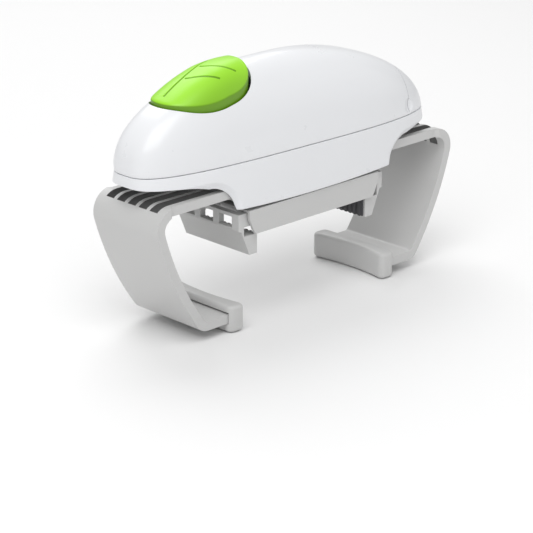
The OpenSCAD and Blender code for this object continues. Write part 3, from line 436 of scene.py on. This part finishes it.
def wire_skin():
    """PVC insulation, red on one side and black on the other."""
    s = Shader("wire_skin")
    side = s.node("ShaderNodeSeparateXYZ", {}, {"Vector": s.place}).out("Y").above(0.0)
    return s.finish(Base_Color=s.mixed(side, (0.42, 0.02, 0.02), (0.02, 0.02, 0.022)),
                    Roughness=0.35 + 0.15 * s.noise(900))


def floor_paper(base):
    """Matt paper for the stage's floor."""
    s = Shader("floor_paper")
    return s.finish(Base_Color=s.mixed(s.noise(3, 2), shade(base, 0.995), base),
                    Roughness=0.85 + 0.05 * s.noise(40))


def make_finishes(colours):
    """Every material slot's finish, by the slot's name in the record."""
    return {
        "white_gloss_plastic": gloss_white(colours.white),
        "grey_satin_plastic": satin_grey(colours.grey),
        "lime_button_plastic": lime_gloss(colours.lime),
        "black_rubber": black_plastic("black_rubber", shade(colours.black, 3.5), 0.62),
        "dark_plastic": black_plastic("dark_plastic", colours.black, 0.45),
        "steel": bright_steel(),
        "nylon": natural_nylon(colours.nylon),
        "board_laminate": green_board(colours.board),
        "cell_wrap": cell_wrap(),
        "wire_insulation": wire_skin(),
    }


FINISHES = {}    # filled by the first operator


# ---------------------------------------------------------------- mesh helpers

def start(name, bm):
    """An object at the origin from a bmesh, which is used up."""
    mesh = bpy.data.meshes.new(name)
    bm.to_mesh(mesh)
    bm.free()
    piece = bpy.data.objects.new(name, mesh)
    bpy.context.scene.collection.objects.link(piece)
    return piece


def settle(piece):
    """Applies a piece's modifiers to its mesh."""
    bpy.context.view_layer.update()
    graph = bpy.context.evaluated_depsgraph_get()
    mesh = bpy.data.meshes.new_from_object(piece.evaluated_get(graph))
    piece.modifiers.clear()
    piece.data = mesh
    mesh.name = piece.name
    return piece


def modify(piece, kind, **settings):
    """Adds a modifier and applies it."""
    modifier = piece.modifiers.new(kind.title(), kind)
    for name, value in settings.items():
        setattr(modifier, name, value)
    return settle(piece)


def carve(piece, *cutters):
    """Cuts a piece with other objects, which are then removed."""
    for cutter in cutters:
        modify(piece, "BOOLEAN", operation="DIFFERENCE", solver="EXACT", object=cutter)
        bpy.data.objects.remove(cutter)
    return piece


def smooth(piece, angle=SHARP):
    """Shades a piece smooth, apart from the edges sharper than the angle."""
    piece.data.shade_smooth()
    piece.data.set_sharp_from_angle(angle=angle)
    return piece


def round_edges(piece, width_mm, segments):
    """Rounds the sharp edges. Small faces split cleanly only at the size of millimetres."""
    piece.data.transform(Matrix.Scale(1 / MM, 4))
    modify(piece, "BEVEL", width=width_mm, segments=segments, limit_method="ANGLE",
           angle_limit=SHARP, use_clamp_overlap=True)
    modify(piece, "TRIANGULATE", min_vertices=5)
    piece.data.transform(Matrix.Scale(MM, 4))
    smooth(piece, math.radians(50))
    return modify(piece, "WEIGHTED_NORMAL", keep_sharp=True)


def dress(piece, node):
    """Lets a piece stand for a node of the frame, on its body and in its finish."""
    piece.data.materials.clear()
    piece.data.materials.append(FINISHES[SLOT_OF[node]])
    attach(piece, BODY_OF[node])
    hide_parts(node)
    return piece


def copy_of(node, name):
    """A clean copy of a node's mesh: merged, with its flat faces made whole."""
    bm = bmesh.new()
    bm.from_mesh(frame["nodes"][node].data)
    bmesh.ops.remove_doubles(bm, verts=bm.verts, dist=MERGE)
    bmesh.ops.dissolve_limit(bm, angle_limit=math.radians(0.3), verts=bm.verts, edges=bm.edges)
    return start(name, bm)


def box_cutter(low, high):
    """A box between two corners in millimetres."""
    bm = bmesh.new()
    middle = [(a + b) / 2 * MM for a, b in zip(low, high)]
    size = [(b - a) * MM for a, b in zip(low, high)]
    place = Matrix.Translation(middle) @ Matrix.Diagonal((*size, 1))
    bmesh.ops.create_cube(bm, size=1, matrix=place)
    return start("cutter", bm)


# ---------------------------------------------------------------- body's surface

def unit_plan(angle, power):
    """A point of the superellipse with half-axes of one."""
    c, s = math.cos(angle), math.sin(angle)
    r = (abs(c) ** power + abs(s) ** power) ** (-1 / power)
    return r * c, r * s


def dome_point(body, angle, rise, inset):
    """A point inset inside the dome's face, in millimetres.

    The rise is 0 at the parting line and a quarter turn on top.
    """
    u, v = unit_plan(angle, body.squareness)
    spread, up = math.cos(rise), math.sin(rise)
    x = body.centre_x - body.lean * up + (body.half_length - inset) * spread * u
    y = (body.half_width - inset) * spread * (1 + body.egg * spread * u) * v
    return x, y, body.parting_z + body.seam / 2 + (body.dome - inset - body.seam / 2) * up


def dome_height(body, x, y):
    """Height of the dome's face over a place, all in millimetres."""
    # The dome leans more the higher it is, so the height is found by rounds from a first guess
    up, rounds, least = 0.8, 10, 0.02
    for _ in range(rounds):
        px = (x - body.centre_x + body.lean * up) / body.half_length
        py = y / (body.half_width * (1 + body.egg * px))
        r = (abs(px) ** body.squareness + abs(py) ** body.squareness) ** (1 / body.squareness)
        up = math.sqrt(max(least ** 2, 1 - r * r))
    return body.parting_z + body.dome * up


def wrapped(name, columns, rows, place):
    """A closed skin whose points are place(column, row), in millimetres.

    Its last column and row join its first ones.
    """
    bm = bmesh.new()
    bmesh.ops.create_grid(bm, x_segments=columns, y_segments=rows, size=1)
    for vert in bm.verts:
        column = round((vert.co.x + 1) / 2 * columns) % columns
        row = round((vert.co.y + 1) / 2 * rows) % rows
        vert.co = Vector(place(column, row)) * MM
    bmesh.ops.remove_doubles(bm, verts=bm.verts, dist=1e-7)
    bmesh.ops.recalc_face_normals(bm, faces=bm.faces)
    return start(name, bm)


def dome_solid(body):
    """The whole dome as a shell with a rounded rim, open below."""
    columns, rim_rows, outer_rows, inner_rows = 320, 4, 60, 30
    quarter = math.pi / 2
    first = body.lip / (body.dome - body.seam / 2)
    turns = [quarter * k / rim_rows for k in range(rim_rows)]
    rim = [(first * (1 - math.cos(turn)), body.lip * (1 - math.sin(turn))) for turn in turns]
    outside = [(first + (quarter - first) * k / outer_rows, 0.0) for k in range(outer_rows + 1)]
    inside = [(quarter * (1 - k / inner_rows), body.wall) for k in range(inner_rows + 1)]
    rows = rim + outside + inside
    angles = even_angles(body, columns)
    return wrapped("dome", columns, len(rows),
                   lambda column, row: dome_point(body, angles[column], *rows[row]))


def seam_cutter(body):
    """A V-section rib along the battery cover's seam, which leaves a groove in the dome."""
    steps, tall, below = 120, 2.0, 3
    wide = 2 * (body.lip + body.seam / 2)
    line = []
    for k in range(steps + 1):
        y = math.sin(math.pi * (k / steps - 0.5)) * cover_half_width(body)
        z = dome_height(body, body.cover_x, y) if k % steps else body.parting_z - below
        line.append(Vector((body.cover_x, y, z)))
    # Corners of the V, across the seam and out of the dome
    corners = ((-wide, tall), (wide, tall), (0.0, -body.lip - 0.1))

    def place(column, row):
        if row > steps:
            return line[steps]
        along = (line[min(row + 1, steps)] - line[max(row - 1, 0)]).normalized()
        across, out = corners[column]
        return line[row] + Vector((across, 0, 0)) + out * along.cross(Vector((-1, 0, 0)))

    return wrapped("groove", len(corners), steps + 2, place)


def cover_half_width(body):
    """Half the dome's width at the parting line, where the cover starts."""
    u = (body.cover_x - body.centre_x) / body.half_length
    fullness = (1 - abs(u) ** body.squareness) ** (1 / body.squareness)
    return body.half_width * (1 + body.egg * u) * fullness


def arch_foot(skirt):
    """Where the arch's curve meets the skirt's edge, from the body's cross line."""
    rise = skirt.low_z + skirt.rise - skirt.arch_z
    return skirt.arch_x - math.sqrt(skirt.arch_r ** 2 - rise ** 2)


def edge_height(skirt, s):
    """Height of the lower shell's edge, s from the body's cross line, in millimetres."""
    foot, fade = arch_foot(skirt), 10
    if s < foot:
        return skirt.low_z + skirt.rise * (s / foot) ** 2
    if s < skirt.arch_x:
        return skirt.arch_z + math.sqrt(max(0.0, skirt.arch_r ** 2 - (s - skirt.arch_x) ** 2))
    return skirt.arch_z + skirt.arch_r + skirt.end_rise * (1 - math.exp((skirt.arch_x - s) / fade))


def lower_point(body, skirt, angle, z, inset):
    """A point of the lower shell's face, inset inside it, in millimetres."""
    t = min(1.0, (body.parting_z - z) / (body.parting_z - skirt.low_z))
    u, v = unit_plan(angle, body.squareness + (skirt.squareness - body.squareness) * t)
    # The plan is less of an egg the lower it is
    wide = 1 + body.egg * (1 - 0.7 * t) * u
    return body.centre_x + (body.half_length - inset) * u, (body.half_width - inset) * wide * v, z


def even_angles(body, count):
    """Angles that step evenly along the plan's outline."""
    fine, skirt = 4000, in_mm(bpy.context.scene.opener_skirt)
    angles = [math.tau * i / fine for i in range(fine + 1)]
    points = [Vector(lower_point(body, skirt, a, body.parting_z, 0)) for a in angles]
    along = [0.0]
    for a, b in zip(points, points[1:]):
        along.append(along[-1] + (b - a).length)
    result, k = [], 0
    for i in range(count):
        goal = along[-1] * i / count
        while along[k + 1] < goal:
            k += 1
        share = (goal - along[k]) / (along[k + 1] - along[k])
        result.append(angles[k] + share * (angles[k + 1] - angles[k]))
    return result


def lower_profile(body, skirt, angle, v):
    """A point on the lower shell's closed profile; v goes from 0 to 1 round it.

    The profile goes round the upper edge, down the face, round the lip and up inside.
    """
    lip = 0.35
    # Where the upper edge's bend, the face, the lip and the inside end, as shares of the way
    bend, down, turn, end = 0.06, 0.5, 0.62, 0.985
    reach = abs(lower_point(body, skirt, angle, body.parting_z, 0)[0])
    top = body.parting_z - body.seam / 2
    low = edge_height(skirt, reach)

    def crease(z):
        """0 above the bevel, 1 at the arch's edge."""
        out = math.hypot(min(0.0, reach - skirt.arch_x), z - skirt.arch_z)
        t = min(1.0, max(0.0, (skirt.arch_r + skirt.bevel_h - out) / skirt.bevel_h))
        near = min(1.0, max(0.0, (reach - arch_foot(skirt) + skirt.bevel_h) / skirt.bevel_h))
        return t * near

    def roll(z):
        """How far the bevel takes the face in."""
        return skirt.bevel * crease(z)

    def inside(z):
        """How far inside the plan the wall's inner face is."""
        return body.lower_wall + skirt.swell * crease(z)

    if v < bend:
        t = math.pi / 2 * v / bend
        z, inset = top - body.lip * (1 - math.cos(t)), body.lip * (1 - math.sin(t))
        return lower_point(body, skirt, angle, z, inset)
    if v < down:
        z = top - body.lip + (low + lip - top + body.lip) * (v - bend) / (down - bend)
        return lower_point(body, skirt, angle, z, roll(z))
    if v < turn:
        t = math.pi * (v - down) / (turn - down)
        half = (inside(low + lip) - roll(low + lip)) / 2
        z = low + lip * (1 - math.sin(t))
        return lower_point(body, skirt, angle, z, roll(low + lip) + half * (1 - math.cos(t)))
    z = low + lip + (top - low - lip) * min(1.0, (v - turn) / (end - turn))
    return lower_point(body, skirt, angle, z, inside(z))


# ---------------------------------------------------------------- leaf button

def leaf_share(leaf, x):
    """-1 at the tip, 0 at the widest place and 1 at the blunt end."""
    reach = leaf.end_x - leaf.mid_x if x > leaf.mid_x else leaf.mid_x - leaf.tip_x
    return max(-1.0, min(1.0, (x - leaf.mid_x) / reach))


def leaf_half_width(leaf, x):
    """An egg, fuller towards its blunt end."""
    u, power, root = leaf_share(leaf, x), 2.0, 0.38
    if u > 0:
        power, root = 3.0, 0.3
    return leaf.half_width * max(0.0, 1 - abs(u) ** power) ** root


def leaf_point(leaf, angle, size, grow=0.0):
    """A point of the leaf's outline in millimetres, scaled about its widest place and grown."""
    c, s = math.cos(angle), math.sin(angle)
    x = leaf.mid_x + c * ((leaf.end_x - leaf.mid_x) if c > 0 else (leaf.mid_x - leaf.tip_x))
    y = math.copysign(leaf_half_width(leaf, x), s)
    # It grows most at the blunt end
    along, across = 1.7 if c > 0 else 1.1, 1.1
    return leaf.mid_x + (x - leaf.mid_x) * size + grow * along * c, y * size + grow * across * s


def button_top(body, leaf, x, y):
    """Height of the button's face over a place, all in millimetres."""
    u = leaf_share(leaf, x)
    tip, middle, end = leaf.proud
    proud = middle + ((end - middle) * u if u > 0 else (middle - tip) * u)
    bulge = max(0.0, 1 - u * u - (y / leaf.half_width) ** 2)
    return dome_height(body, x, y) + proud + leaf.crown * bulge


def button_solid(body, leaf):
    """The button: crowned face, rounded edge, upright wall and a flat inside."""
    bm = bmesh.new()
    bmesh.ops.create_uvsphere(bm, u_segments=192, v_segments=96, radius=1)
    # Where the face, the rounded edge and the wall end, on the way from the top to the bottom
    rim, side, foot = 0.42, 0.56, 0.75
    edge = leaf.edge / leaf.half_width
    for vert in bm.verts:
        angle = math.atan2(vert.co.y, vert.co.x)
        turn = math.acos(max(-1.0, min(1.0, vert.co.z))) / math.pi
        if turn < rim:
            size = (1 - edge) * turn / rim
            x, y = leaf_point(leaf, angle, size)
            z = button_top(body, leaf, x, y)
        elif turn < side:
            bend = math.pi / 2 * (turn - rim) / (side - rim)
            size = 1 - edge * (1 - math.sin(bend))
            x, y = leaf_point(leaf, angle, size)
            z = button_top(body, leaf, x, y) - leaf.edge * (1 - math.cos(bend))
        elif turn < foot:
            down = (turn - side) / (foot - side)
            x, y = leaf_point(leaf, angle, 1.0)
            top = button_top(body, leaf, x, y) - leaf.edge
            z = top + (dome_height(body, x, y) - leaf.sink - top) * down
        else:
            size = 1 - (turn - foot) / (1 - foot)
            x, y = leaf_point(leaf, angle, size)
            z = dome_height(body, x, y) - leaf.sink
        vert.co = Vector((x, y, z)) * MM
    return start("start_button_leaf", bm)


def vein_cutter(body, leaf, route):
    """A round cutter along a route on the button's face; the route is in millimetres."""
    curve = bpy.data.curves.new("vein", "CURVE")
    curve.dimensions = "3D"
    curve.bevel_depth = leaf.vein * MM
    curve.bevel_resolution = 3
    curve.use_fill_caps = True
    spline = curve.splines.new("POLY")
    spline.points.add(len(route) - 1)
    for point, (x, y) in zip(spline.points, route):
        z = button_top(body, leaf, x, y)
        point.co = (x * MM, y * MM, z * MM, 1)
    holder = bpy.data.objects.new("vein", curve)
    bpy.context.scene.collection.objects.link(holder)
    bpy.context.view_layer.update()
    graph = bpy.context.evaluated_depsgraph_get()
    mesh = bpy.data.meshes.new_from_object(holder.evaluated_get(graph))
    bpy.data.objects.remove(holder)
    bm = bmesh.new()
    bm.from_mesh(mesh)
    bmesh.ops.remove_doubles(bm, verts=bm.verts, dist=1e-7)
    bmesh.ops.recalc_face_normals(bm, faces=bm.faces)
    bpy.data.meshes.remove(mesh)
    return start("vein_cutter", bm)


def vein_routes(leaf):
    """A midrib and two side veins on its near side, as a leaf has them; places in millimetres."""
    first, last = leaf.tip_x + 3.5, leaf.end_x - 13
    rib_steps, side_steps = 28, 16

    def rib(t):
        return first + (last - first) * t, 0.6 + 4.2 * t ** 1.3

    routes = [[rib(i / rib_steps) for i in range(rib_steps + 1)]]
    for share, reach in ((0.38, 11.5), (0.72, 12.5)):
        x, y = rib(share)
        steps = [i / side_steps for i in range(side_steps + 1)]
        routes.append([(x + 1.2 + 11.5 * t ** 1.2, y - 1.4 - reach * t ** 0.9) for t in steps])
    return routes


# ---------------------------------------------------------------- lid jaws

def thicken_neck(jaw):
    """Moves the lower edge of a jaw's ledge out, so that its lip hangs from a wall of 0.8 mm."""
    # Where that edge is, how far from there a point may be, and how far it moves
    edge_x, edge_z, near, shift = 46.4 * MM, 47.9 * MM, 0.1 * MM, 1.0 * MM
    bm = bmesh.new()
    bm.from_mesh(jaw.data)
    ledge = [v for v in bm.verts
             if abs(abs(v.co.x) - edge_x) < near and abs(v.co.z - edge_z) < near]
    if len(ledge) < 2:
        raise RuntimeError("the jaw's ledge isn't where it was")
    out = math.copysign(shift, ledge[0].co.x)
    bmesh.ops.translate(bm, vec=(out, 0, 0), verts=ledge)
    bm.to_mesh(jaw.data)
    bm.free()
    return jaw


# ---------------------------------------------------------------- jar arms and pads

def slot_places(slots):
    """Middles of the slots along Y, in millimetres."""
    return [slots.pitch * (k - (slots.count - 1) / 2) for k in range(slots.count)]


def lengthen_slots(arm, slots, side):
    """Carries the slots of an arm over its bend; side is -1 or 1 along X."""
    length, clear, past = 10, 0.04, 5
    ends = sorted((side * slots.start_x, side * (slots.start_x - length)))
    # The cutters stay just clear of the slots' own faces, so that no face is cut in its plane
    half, low, high = slots.width / 2 - clear, slots.low_z + 0.1, slots.top_z + past
    return carve(arm, *[box_cutter((ends[0], y - half, low), (ends[1], y + half, high))
                        for y in slot_places(slots)])


def paint_slot_shade(arm, slots):
    """Marks the upright faces inside the slots, which the finish darkens with painted shade."""
    near_wall, above_low = 0.05, 2
    inside = arm.data.attributes.new("painted_slot_shade", "FLOAT", "FACE")
    for face, mark in zip(arm.data.polygons, inside.data):
        x, y, z = face.center / MM
        near = min(abs(y - middle) for middle in slot_places(slots))
        beside = near < slots.width / 2 + near_wall and abs(face.normal.z) < 0.8
        within = z > slots.low_z + above_low and abs(x) < slots.start_x + 0.1
        mark.value = 1.0 if beside and within else 0.0
    return arm


def pad_solid(pad, name, side):
    """A rounded block with its gripping face hollowed; side is -1 or 1 along X."""
    bm = bmesh.new()
    middle = Matrix.Translation((0, 0, pad.height / 2 * MM))
    size = Matrix.Diagonal((pad.thickness * MM, 2 * pad.half_width * MM, pad.height * MM, 1))
    bmesh.ops.create_cube(bm, size=1, matrix=middle @ size)
    upright = [e for e in bm.edges if abs(e.verts[0].co.z - e.verts[1].co.z) > MM]
    bmesh.ops.bevel(bm, geom=upright, offset=pad.corner * MM, segments=8, profile=0.5,
                    affect="EDGES", material=-1)
    level = [e for e in bm.edges if abs(e.verts[0].co.z - e.verts[1].co.z) < 1e-6]
    bmesh.ops.bevel(bm, geom=level, offset=pad.edge * MM, segments=5, profile=0.5,
                    affect="EDGES", material=-1)
    cuts = 24
    for k in range(1, cuts):
        place = (2 * k / cuts - 1) * (pad.half_width - pad.corner) * MM
        bmesh.ops.bisect_plane(bm, geom=bm.verts[:] + bm.edges[:] + bm.faces[:],
                               plane_co=(0, place, 0), plane_no=(0, 1, 0))
    for vert in bm.verts:
        near = vert.co.x / (pad.thickness * MM) + 0.5
        vert.co.x -= near * pad.hollow * MM * (1 - (vert.co.y / (pad.half_width * MM)) ** 2)
    bmesh.ops.translate(bm, vec=(-(pad.inner_x + pad.thickness / 2) * MM, 0, 0), verts=bm.verts)
    if side > 0:
        half_turn = Matrix.Rotation(math.pi, 3, "Z")
        bmesh.ops.rotate(bm, cent=(0, 0, 0), matrix=half_turn, verts=bm.verts)
    past = 5
    ends = sorted((side * pad.slot_x, side * (pad.inner_x + pad.thickness + past)))
    return carve(start(name, bm), box_cutter((ends[0], -pad.slot_half, pad.slot_low),
                                             (ends[1], pad.slot_half, pad.slot_top)))


# ---------------------------------------------------------------- operators

class OPENER_OT_finishes(bpy.types.Operator):
    """Make the finishes and give them to the frame's nodes"""
    bl_idname = "opener.finishes"
    bl_label = "Finishes"

    def execute(self, context):
        FINISHES.update(make_finishes(context.scene.opener_finish))
        for name, node in frame["nodes"].items():
            node.data.materials.clear()
            node.data.materials.append(FINISHES[SLOT_OF[name]])
        return {"FINISHED"}


class OPENER_OT_upper_shell(bpy.types.Operator):
    """Model the domed upper shell and the battery cover that continues it"""
    bl_idname = "opener.upper_shell"
    bl_label = "Upper shell and battery cover"

    def execute(self, context):
        body, leaf = in_mm(context.scene.opener_body), in_mm(context.scene.opener_leaf)
        dome = dome_solid(body)
        far = 300
        notch_out, notch_up, notch_r = 1.2, 5.2, 5.4
        for side in (-1, 1):
            notch = bmesh.new()
            place = Vector((body.cover_x, side * (body.half_width + notch_out),
                            body.parting_z + notch_up)) * MM
            bmesh.ops.create_uvsphere(notch, u_segments=48, v_segments=24, radius=notch_r * MM,
                                      matrix=Matrix.Translation(place))
            carve(dome, start("notch", notch))
        carve(dome, seam_cutter(body))
        shell = dome.copy()
        shell.data = dome.data.copy()
        context.scene.collection.objects.link(shell)
        carve(shell, box_cutter((body.cover_x - body.seam / 2, -far, 0), (far, far, far)))
        opening, opening_up = bmesh.new(), 10
        rim = bmesh.ops.create_circle(opening, cap_ends=True, segments=192, radius=1)["verts"]
        for vert in rim:
            x, y = leaf_point(leaf, math.atan2(vert.co.y, vert.co.x), 1.0, leaf.gap)
            vert.co = Vector((x, y, body.parting_z + opening_up)) * MM
        raised = bmesh.ops.extrude_face_region(opening, geom=opening.faces[:])["geom"]
        bmesh.ops.translate(opening, vec=(0, 0, 100 * MM),
                            verts=[v for v in raised if isinstance(v, bmesh.types.BMVert)])
        bmesh.ops.recalc_face_normals(opening, faces=opening.faces)
        carve(shell, start("opening", opening))
        shell.name = "upper_shell"
        dress(smooth(shell), "upper_housing")
        carve(dome, box_cutter((-far, -far, 0), (body.cover_x + body.seam / 2, far, far)))
        dome.name = "battery_lid"
        dress(smooth(dome), "battery_cover")
        return {"FINISHED"}


class OPENER_OT_lower_shell(bpy.types.Operator):
    """Model the lower shell with its skirts and arches"""
    bl_idname = "opener.lower_shell"
    bl_label = "Lower shell"
    columns: IntProperty(name="Columns", description="Steps round the shell", default=480)
    rows: IntProperty(name="Rows", description="Steps round the profile", default=64)

    def execute(self, context):
        body, skirt = in_mm(context.scene.opener_body), in_mm(context.scene.opener_skirt)
        angles = even_angles(body, self.columns)

        def place(column, row):
            return lower_profile(body, skirt, angles[column], row / self.rows)

        shell = wrapped("lower_shell", self.columns, self.rows, place)
        dress(smooth(shell, math.radians(40)), "lower_housing")
        return {"FINISHED"}


class OPENER_OT_start_button(bpy.types.Operator):
    """Model the leaf-shaped start button with its engraved veins"""
    bl_idname = "opener.start_button"
    bl_label = "Start button"

    def execute(self, context):
        body, leaf = in_mm(context.scene.opener_body), in_mm(context.scene.opener_leaf)
        button = button_solid(body, leaf)
        carve(button, *[vein_cutter(body, leaf, route) for route in vein_routes(leaf)])
        # Depth below the face, which the finish turns into painted shade
        depth = button.data.attributes.new("depth_mm", "FLOAT", "POINT")
        for vert, below in zip(button.data.vertices, depth.data):
            x, y, z = vert.co / MM
            below.value = button_top(body, leaf, x, y) - z
        dress(smooth(button, math.radians(45)), "start_button")
        return {"FINISHED"}


class OPENER_OT_grips(bpy.types.Operator):
    """Lengthen the jar arms' slots, round their edges, mark the slots' painted shade and model the
    pads
    """
    bl_idname = "opener.grips"
    bl_label = "Jar arms and pads"

    def execute(self, context):
        slots, edges = in_mm(context.scene.opener_slots), in_mm(context.scene.opener_edges)
        block = in_mm(context.scene.opener_pad)
        for side, way in (("left", -1), ("right", 1)):
            arm = lengthen_slots(copy_of(f"jar_arm_{side}", f"arm_{side}"), slots, way)
            dress(paint_slot_shade(round_edges(arm, edges.arm, 3), slots), f"jar_arm_{side}")
            pad = pad_solid(block, f"pad_{side}", way)
            dress(smooth(pad, math.radians(40)), f"jar_pad_{side}")
        return {"FINISHED"}


class OPENER_OT_lid_side(bpy.types.Operator):
    """Round the edges of the turning tray, its cover and the lid jaws"""
    bl_idname = "opener.lid_side"
    bl_label = "Tray and lid jaws"

    def execute(self, context):
        edges = in_mm(context.scene.opener_edges)
        dress(round_edges(copy_of("turning_tray", "tray"), edges.tray, 2), "turning_tray")
        dress(round_edges(copy_of("tray_cover", "tray_plate"), edges.tray, 2), "tray_cover")
        for side in ("left", "right"):
            jaw = thicken_neck(copy_of(f"lid_jaw_{side}", f"jaw_{side}"))
            dress(round_edges(jaw, edges.jaw, 2), f"lid_jaw_{side}")
            strip = copy_of(f"lid_strip_{side}", f"strip_{side}")
            dress(round_edges(strip, edges.strip, 2), f"lid_strip_{side}")
        return {"FINISHED"}


class OPENER_OT_stage(bpy.types.Operator):
    """Set the floor, the soft lights and the camera"""
    bl_idname = "opener.stage"
    bl_label = "Stage"

    def execute(self, context):
        scene = context.scene
        bm = bmesh.new()
        bmesh.ops.create_grid(bm, x_segments=2, y_segments=2, size=6)
        floor = start("floor", bm)
        floor.location.z = -0.0004
        floor.data.materials.append(floor_paper(scene.opener_finish.floor))
        world = bpy.data.worlds.new("studio")
        world.use_nodes = True
        backdrop = world.node_tree.nodes["Background"]
        backdrop.inputs["Color"].default_value = (1, 1, 1, 1)
        backdrop.inputs["Strength"].default_value = scene.opener_lights.sky
        scene.world = world
        scene.view_settings.view_transform = "Standard"
        self.lamp("key", (-0.60, -0.50, 1.20), 1.2, scene.opener_lights.key)
        self.lamp("far", (0.40, 0.75, 1.10), 1.0, scene.opener_lights.far)
        self.lamp("side", (0.95, -0.60, 0.50), 0.7, scene.opener_lights.side)
        self.camera(scene)
        return {"FINISHED"}

    def lamp(self, name, place, size, power):
        """A soft square lamp that looks at the body."""
        light = bpy.data.lights.new(name, "AREA")
        light.energy = power
        light.size = size
        lamp = bpy.data.objects.new(name, light)
        lamp.location = place
        aim = Vector((0, 0, 0.07)) - lamp.location
        lamp.rotation_euler = aim.to_track_quat("-Z", "Y").to_euler()
        bpy.context.scene.collection.objects.link(lamp)

    def camera(self, scene):
        """The photograph's viewpoint: the image is taken as 533 pixels square."""
        view = scene.opener_camera
        level = math.cos(view.elevation)
        back = Vector((math.sin(view.azimuth) * level, -math.cos(view.azimuth) * level,
                       math.sin(view.elevation)))
        sensor, image = 36.0, 533
        data = bpy.data.cameras.new("camera")
        data.sensor_width = sensor
        data.lens = view.focal_px * sensor / image
        data.clip_end = 20
        camera = bpy.data.objects.new("camera", data)
        camera.location = Vector(view.target) + back * view.distance
        camera.rotation_euler = (-back).to_track_quat("-Z", "Y").to_euler()
        scene.collection.objects.link(camera)
        scene.camera = camera


class OPENER_PT_panel(bpy.types.Panel):
    """The jar opener's steps and sizes"""
    bl_idname = "OPENER_PT_panel"
    bl_label = "Jar opener"
    bl_space_type = "VIEW_3D"
    bl_region_type = "UI"
    bl_category = "Jar opener"

    def draw(self, context):
        for step in STEPS:
            self.layout.operator(step.bl_idname)
        for name, group in GROUPS.items():
            column = self.layout.column(heading=name)
            for prop in group.__annotations__:
                column.prop(getattr(context.scene, name), prop)


STEPS = (OPENER_OT_finishes, OPENER_OT_upper_shell, OPENER_OT_lower_shell, OPENER_OT_start_button,
         OPENER_OT_grips, OPENER_OT_lid_side, OPENER_OT_stage)
CLASSES = (*GROUPS.values(), *STEPS, OPENER_PT_panel)


def register():
    """Registers the classes and puts the sizes on the scene."""
    for cls in CLASSES:
        bpy.utils.register_class(cls)
    for name, group in GROUPS.items():
        setattr(bpy.types.Scene, name, PointerProperty(type=group))


def unregister():
    """Takes back what register did."""
    for name in GROUPS:
        delattr(bpy.types.Scene, name)
    for cls in reversed(CLASSES):
        bpy.utils.unregister_class(cls)


def main():
    """Builds everything in order."""
    register()
    for step in STEPS:
        family, name = step.bl_idname.split(".")
        getattr(getattr(bpy.ops, family), name)()


if __name__ == "__main__":
    main()
